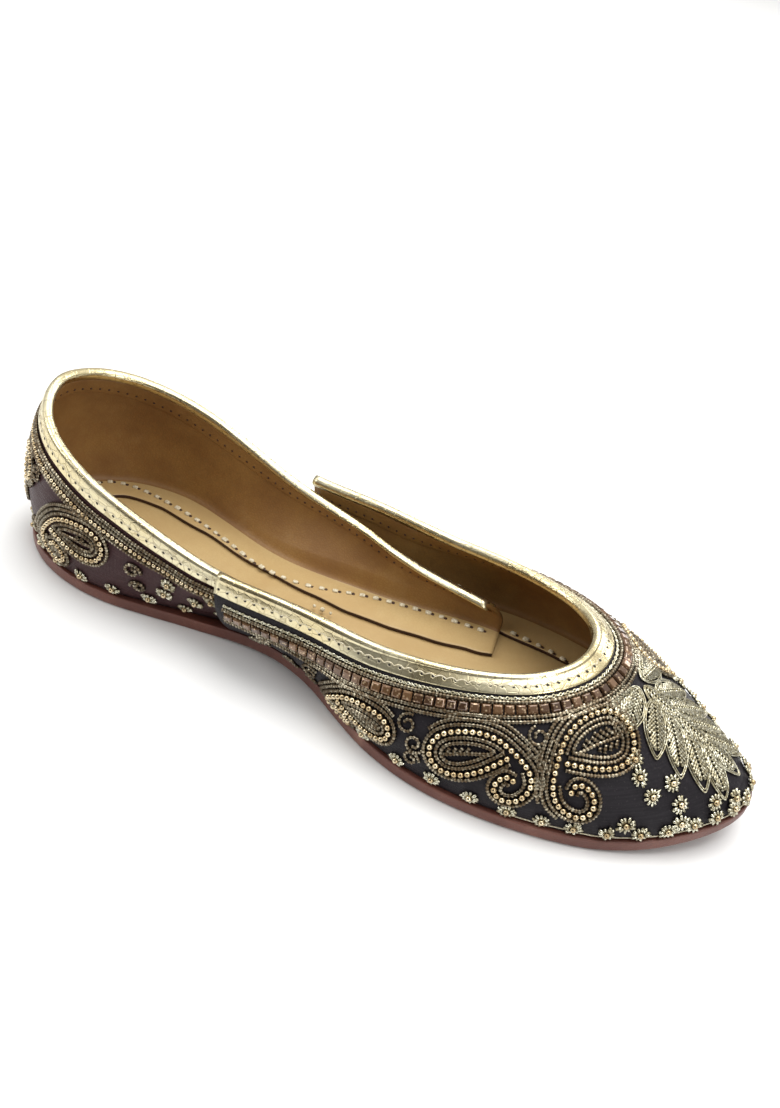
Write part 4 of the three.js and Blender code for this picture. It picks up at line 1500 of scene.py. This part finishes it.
for place in (13.4, 14.2, 15.0, 15.8, 16.6, 17.4, 18.2, 19.0, 19.8, 20.6):
    QUARTER_FLOWERS.append((place, float(quarter_wall.height(place)) - 2.9))
points, normals = flower_spots(quarter_cloth, QUARTER_FLOWERS)
(points, normals), (far_points, far_normals) = both_sides([(points, normals)])
grow_flowers("quarter_flowers", np.vstack([points, far_points]), np.vstack([normals, far_normals]))

# %% [markdown]
# ## Stitches that hold the shoe together
# Flat stitches of thick pale thread go through awl holes along the flanges; beside each, a small dark disc
# is the painted shadow of its hole. The line of them follows the turned-in leather from the heel, in at the
# waist where the two sides nearly meet, and out again. A finer scalloped thread holds the gilt bindings, and
# a small knot closes the seam at the waist.

# %% Flange stitches and painted hole shadows

FLANGE_TOP = FLANGE_Z + FLANGE_THICK
STITCH_LINE = np.array([[8, 0], [10, 14], [20, 19.5], [38, 19], [58, 15], [77, 9.2], [92, 7.5], [104, 10],
                        [118, 16], [136, 22], [154, 25.0]])


def floor_path(table, side):
    line = curve_through(table, 0.5)
    points = np.stack([line[:, 0] - CENTRE, line[:, 1] * side, 0 * line[:, 0] + FLANGE_TOP], -1)
    return lifted(points), np.tile([0.0, 0.0, 1.0], (len(line), 1))


VAMP_STITCH_LINE = np.array([[164, 30], [176, 29.5], [188, 27.0], [200, 22.5]])
lines = [floor_path(t, side) for t in (STITCH_LINE, VAMP_STITCH_LINE) for side in (1, -1)]
laid = [spots_along(line, 4.6, 0.2) for line in lines]
points, frames = np.vstack([p for p, _ in laid]), np.vstack([f for _, f in laid])
dress(set_many("flange_stitches", STITCH, points, frames, rng.uniform(0.85, 1.12, len(points))),
      "stitch_thread", pale_thread)
# beside each stitch a small dark disc stands for its hole: a painted shadow
holes = points + frames[:, :, 0] * 1.5 - frames[:, :, 2] * 0.18


# a thin dark disc set where a hole's shade falls: painted shade, not a cut hole
def build_hole_shade_disc(bm):
    bmesh.ops.create_cone(bm, cap_ends=True, segments=8, radius1=1.0, radius2=0.9, depth=0.3)


HOLE_SHADE = small_shape(build_hole_shade_disc)
dress(set_many("flange_hole_shadows", HOLE_SHADE, holes, frames, 0.62), "lining_leather", edge_dye_and_hole_shade)

# %% [markdown]
# ## Binding threads and the knot
# A waxed thread sews the binding down. It dips at each awl hole and swings out between them, so it is a
# curve with one wave for each hole. A small knot of beads closes the seam at the waist.

# %% Binding threads and the knot


def scallop(path, pitch, width):
    """A thread that dips at each hole and swings out between them."""
    points, normals = path
    joined = evenly(np.hstack([points, normals]), pitch / 6)
    points, normals = joined[:, :3], joined[:, 3:]
    across = np.cross(normals, np.gradient(points, axis=0))
    across /= np.linalg.norm(across, axis=1, keepdims=True)
    swing = np.abs(np.sin(np.arange(len(points)) * math.pi / 6)) * width
    return points + across * swing[:, None] + normals * 0.5, normals


def band_row(cloth, wall, down, ends):
    return cloth.row(ends, lambda p: down * (vamp_taper(p) if wall is vamp_wall else quarter_taper(p)), 900)


threads = [scallop(band_row(vamp_cloth, vamp_wall, HOLE_DOWN, (-12.9, 12.9)), HOLE_PITCH, 0.7)]
threads += both_sides([scallop(band_row(quarter_cloth, quarter_wall, HOLE_DOWN, (-HEEL, -9.0)), HOLE_PITCH,
                               0.7)])
dress(tubes("binding_threads", threads, 0.2, sit=0.6), "stitch_thread", pale_thread)
points, frames = spots_along(floor_path(np.array([[104.0, 0.0], [107.0, 0.0], [110.0, 0.0]]), 1), 2.6, 0.2)
dress(set_many("seam_knot", BEAD, points, frames, [0.6, 0.85, 0.55][:len(points)]), "stitch_thread",
      pale_thread)

# %% [markdown]
# ## Thread at the foot of the vamp
# A plain thread hides the line where the satin meets the sole. One strand along the foot is enough, because
# only its bright top edge shows.

# %% Thread at the foot of the vamp

foot_thread = vamp_cloth.row((-6.5, 6.5), lambda p: vamp_wall.height(p) - 0.9, 500)
dress(tubes("foot_thread", [foot_thread], 0.2, sit=0.8), "stitch_thread", pale_thread)

# %% [markdown]
# ## The heel mark
# Makers foil-stamp their mark on the heel of the footbed. Here a plain eight-petalled rosette in the same
# foil stands in for it: thin petals, cut from a flat disc and drawn in at their tips.

# %% Heel rosette


def build_leaf(bm):
    bmesh.ops.create_circle(bm, cap_ends=True, segments=10, radius=1.0)
    bmesh.ops.scale(bm, verts=bm.verts, vec=(1.0, 0.32, 1.0))
    bmesh.ops.translate(bm, verts=bm.verts, vec=(1.25, 0, 0))
    made = bmesh.ops.extrude_face_region(bm, geom=bm.faces[:])
    bmesh.ops.translate(bm, verts=[v for v in made["geom"] if isinstance(v, bmesh.types.BMVert)],
                        vec=(0, 0, 0.04))


LEAF = small_shape(build_leaf)
angles = np.arange(8) * math.tau / 8
frames = np.array([[[math.cos(a), -math.sin(a), 0], [math.sin(a), math.cos(a), 0], [0, 0, 1]]
                   for a in angles])
centre = lifted(np.array([[26.0 - CENTRE, 0.0, FOOT_Z + 1.22]]))
stamp_foil = gilt("stamp_foil",
                  (0.5, 0.36, 0.14, 1), (0.62, 0.48, 0.22, 1), (0.3, 0.2, 0.08, 1), hole_row=False)
dress(set_many("heel_rosette", LEAF, np.repeat(centre, 8, axis=0), frames, 2.3, smooth=False),
      "lining_leather", stamp_foil)

# %% [markdown]
# ## Facings
# Inside each top edge a strip of the tan leather covers where the binding is folded in. It is sewn through
# the same holes, which show on it as a row of dark pricks: small dark discs of painted shade.

# %% Facings inside the top edges

FACING_STOPS = np.array([0, 0.08, 0.15, 0.5, 0.85, 0.92, 1.0])
FACING_SECTION = np.array([[2.3, -1.9], [2.2, -2.3], [2.5, -2.42], [5.5, -2.45], [8.4, -2.36], [8.7, -2.1],
                           [8.6, -1.85]])
for name, wall, place_of, run in (("vamp_facing", vamp_wall, vamp_place, VAMP_RUN),
                                  ("quarter_facing", quarter_wall, quarter_place, QUARTER_RUN)):
    stops, section = np.append(FACING_STOPS, 1.15) / 1.15, np.vstack([FACING_SECTION, FACING_SECTION[:1]])
    facing = grid_piece(name, 200, 24, strip_surface(wall, place_of, stops, section, trim=0.004),
                        uv=strip_uv(run, stops, section, 0.004), ring=True)
    dress(facing, "lining_leather", lining_leather)
# dark discs inside the top edges: painted shade of the holes
pricks = []
for wall, (low, high) in ((vamp_wall, (-12.9, 12.9)), (quarter_wall, (-HEEL, -8.6)),
                          (quarter_wall, (8.6, HEEL))):
    place = np.linspace(low, high, 500)
    inner = lifted(wall.at(place, 0 * place + 6.6, 0 * place - 2.45))
    pricks.append(spots_along((inner, -skin_normal(place, wall.up_at(place, 0 * place + 6.6))), 3.1, 0.02))
points, frames = np.vstack([p for p, _ in pricks]), np.vstack([f for _, f in pricks])
dress(set_many("facing_prick_shades", HOLE_SHADE, points, frames, 0.42), "lining_leather", edge_dye_and_hole_shade)

# %% [markdown]
# ## Floor, light and camera
# A pale sweep and four soft boxes, as in a small studio: one wide light overhead, one from each side, and
# one low from behind to draw the gilt edges. The room behind the camera is dark, so the gilt has something
# dark to reflect. The camera looks down the shoe's right side from the toe end,
# rolled a little so the shoe runs from the upper left to the lower right.

# %% Studio


def make_floor():
    bm = bmesh.new()
    bmesh.ops.create_grid(bm, x_segments=1, y_segments=1, size=6.0)
    mesh = bpy.data.meshes.new("floor")
    bm.to_mesh(mesh)
    bm.free()
    floor = bpy.data.objects.new("floor", mesh)
    bpy.context.scene.collection.objects.link(floor)
    material, tree, shader = new_material("pale_floor")
    haze = node(tree, "ShaderNodeTexNoise", {"Vector": node(tree, "ShaderNodeTexCoord").outputs["Object"],
                                             "Scale": 3.0})
    tree.links.new(ramp(tree, haze.outputs[0], 0.2, 0.8, 0.55, 0.65), shader.inputs["Roughness"])
    shader.inputs["Base Color"].default_value = (0.86, 0.86, 0.855, 1)
    floor.data.materials.append(material)


make_floor()


def soft_box(name, spot, aim, size, power, colour=(1, 1, 1)):
    data = bpy.data.lights.new(name, "AREA")
    data.shape, data.size, data.size_y = "RECTANGLE", size[0], size[1]
    data.energy, data.color = power, colour
    light = bpy.data.objects.new(name, data)
    bpy.context.scene.collection.objects.link(light)
    light.location = spot
    light.rotation_euler = (Vector(aim) - Vector(spot)).to_track_quat("-Z", "Y").to_euler()


soft_box("overhead", (0.05, 0.15, 0.9), (0, 0, 0), (0.9, 0.7), 7.6)
soft_box("left_box", (-0.8, -0.35, 0.6), (0, 0, 0.02), (0.5, 0.7), 3.6)
soft_box("right_box", (0.75, -0.5, 0.45), (0.05, 0, 0.02), (0.3, 0.6), 2.4)
soft_box("back_box", (0.2, 0.9, 0.5), (0, 0, 0.02), (0.8, 0.3), 3.4)

world = bpy.data.worlds.new("studio")
bpy.context.scene.world = world
world.use_nodes = True
sky = world.node_tree
where = node(sky, "ShaderNodeTexCoord").outputs["Generated"]
parts = node(sky, "ShaderNodeSeparateXYZ", {0: where})
shade = ramp(sky, parts.outputs[2], 0.0, 0.8, 0.3, 1.0)
shade = maths(sky, "MULTIPLY", shade, ramp(sky, parts.outputs[1], -0.75, 0.1, 0.12, 1.0))
room = blend(sky, shade, (0.05, 0.045, 0.04, 1), (1.0, 0.99, 0.97, 1))
seen = node(sky, "ShaderNodeLightPath").outputs["Is Camera Ray"]
sky.links.new(blend(sky, seen, room, (0.98, 0.98, 0.98, 1)), sky.nodes["Background"].inputs[0])
sky.nodes["Background"].inputs[1].default_value = 1.0

# %% [markdown]
# ## Camera
# The camera looks down at the toe from one side and is rolled a little, so the shoe runs across the frame
# from corner to corner. Its place is worked out from angles, which are easier to change than a matrix.

# %% Camera
bpy.context.scene.view_settings.view_transform = "Standard"

AZIMUTH, ELEVATION, ROLL = (math.radians(v) for v in (17.5, 38.5, 12.5))
DISTANCE = 0.42
LENS = 56.6308
AIM = Vector((-0.0105, 0.0345, 0.014))


def make_camera():
    back = Vector((math.cos(ELEVATION) * math.sin(AZIMUTH), -math.cos(ELEVATION) * math.cos(AZIMUTH),
                   math.sin(ELEVATION)))
    right = (-back).cross(Vector((0, 0, 1))).normalized()
    up = right.cross(-back)
    rolled = math.cos(ROLL) * right + math.sin(ROLL) * up, -math.sin(ROLL) * right + math.cos(ROLL) * up
    turn = Matrix((rolled[0], rolled[1], back)).transposed().to_4x4()
    camera = bpy.data.objects.new("camera", bpy.data.cameras.new("camera"))
    bpy.context.scene.collection.objects.link(camera)
    camera.matrix_world = Matrix.Translation(AIM + back * DISTANCE) @ turn
    camera.data.sensor_fit, camera.data.sensor_width = "HORIZONTAL", 36.0
    camera.data.lens = LENS
    camera.data.clip_start, camera.data.clip_end = 0.01, 20.0
    bpy.context.scene.camera = camera
    return camera


make_camera()
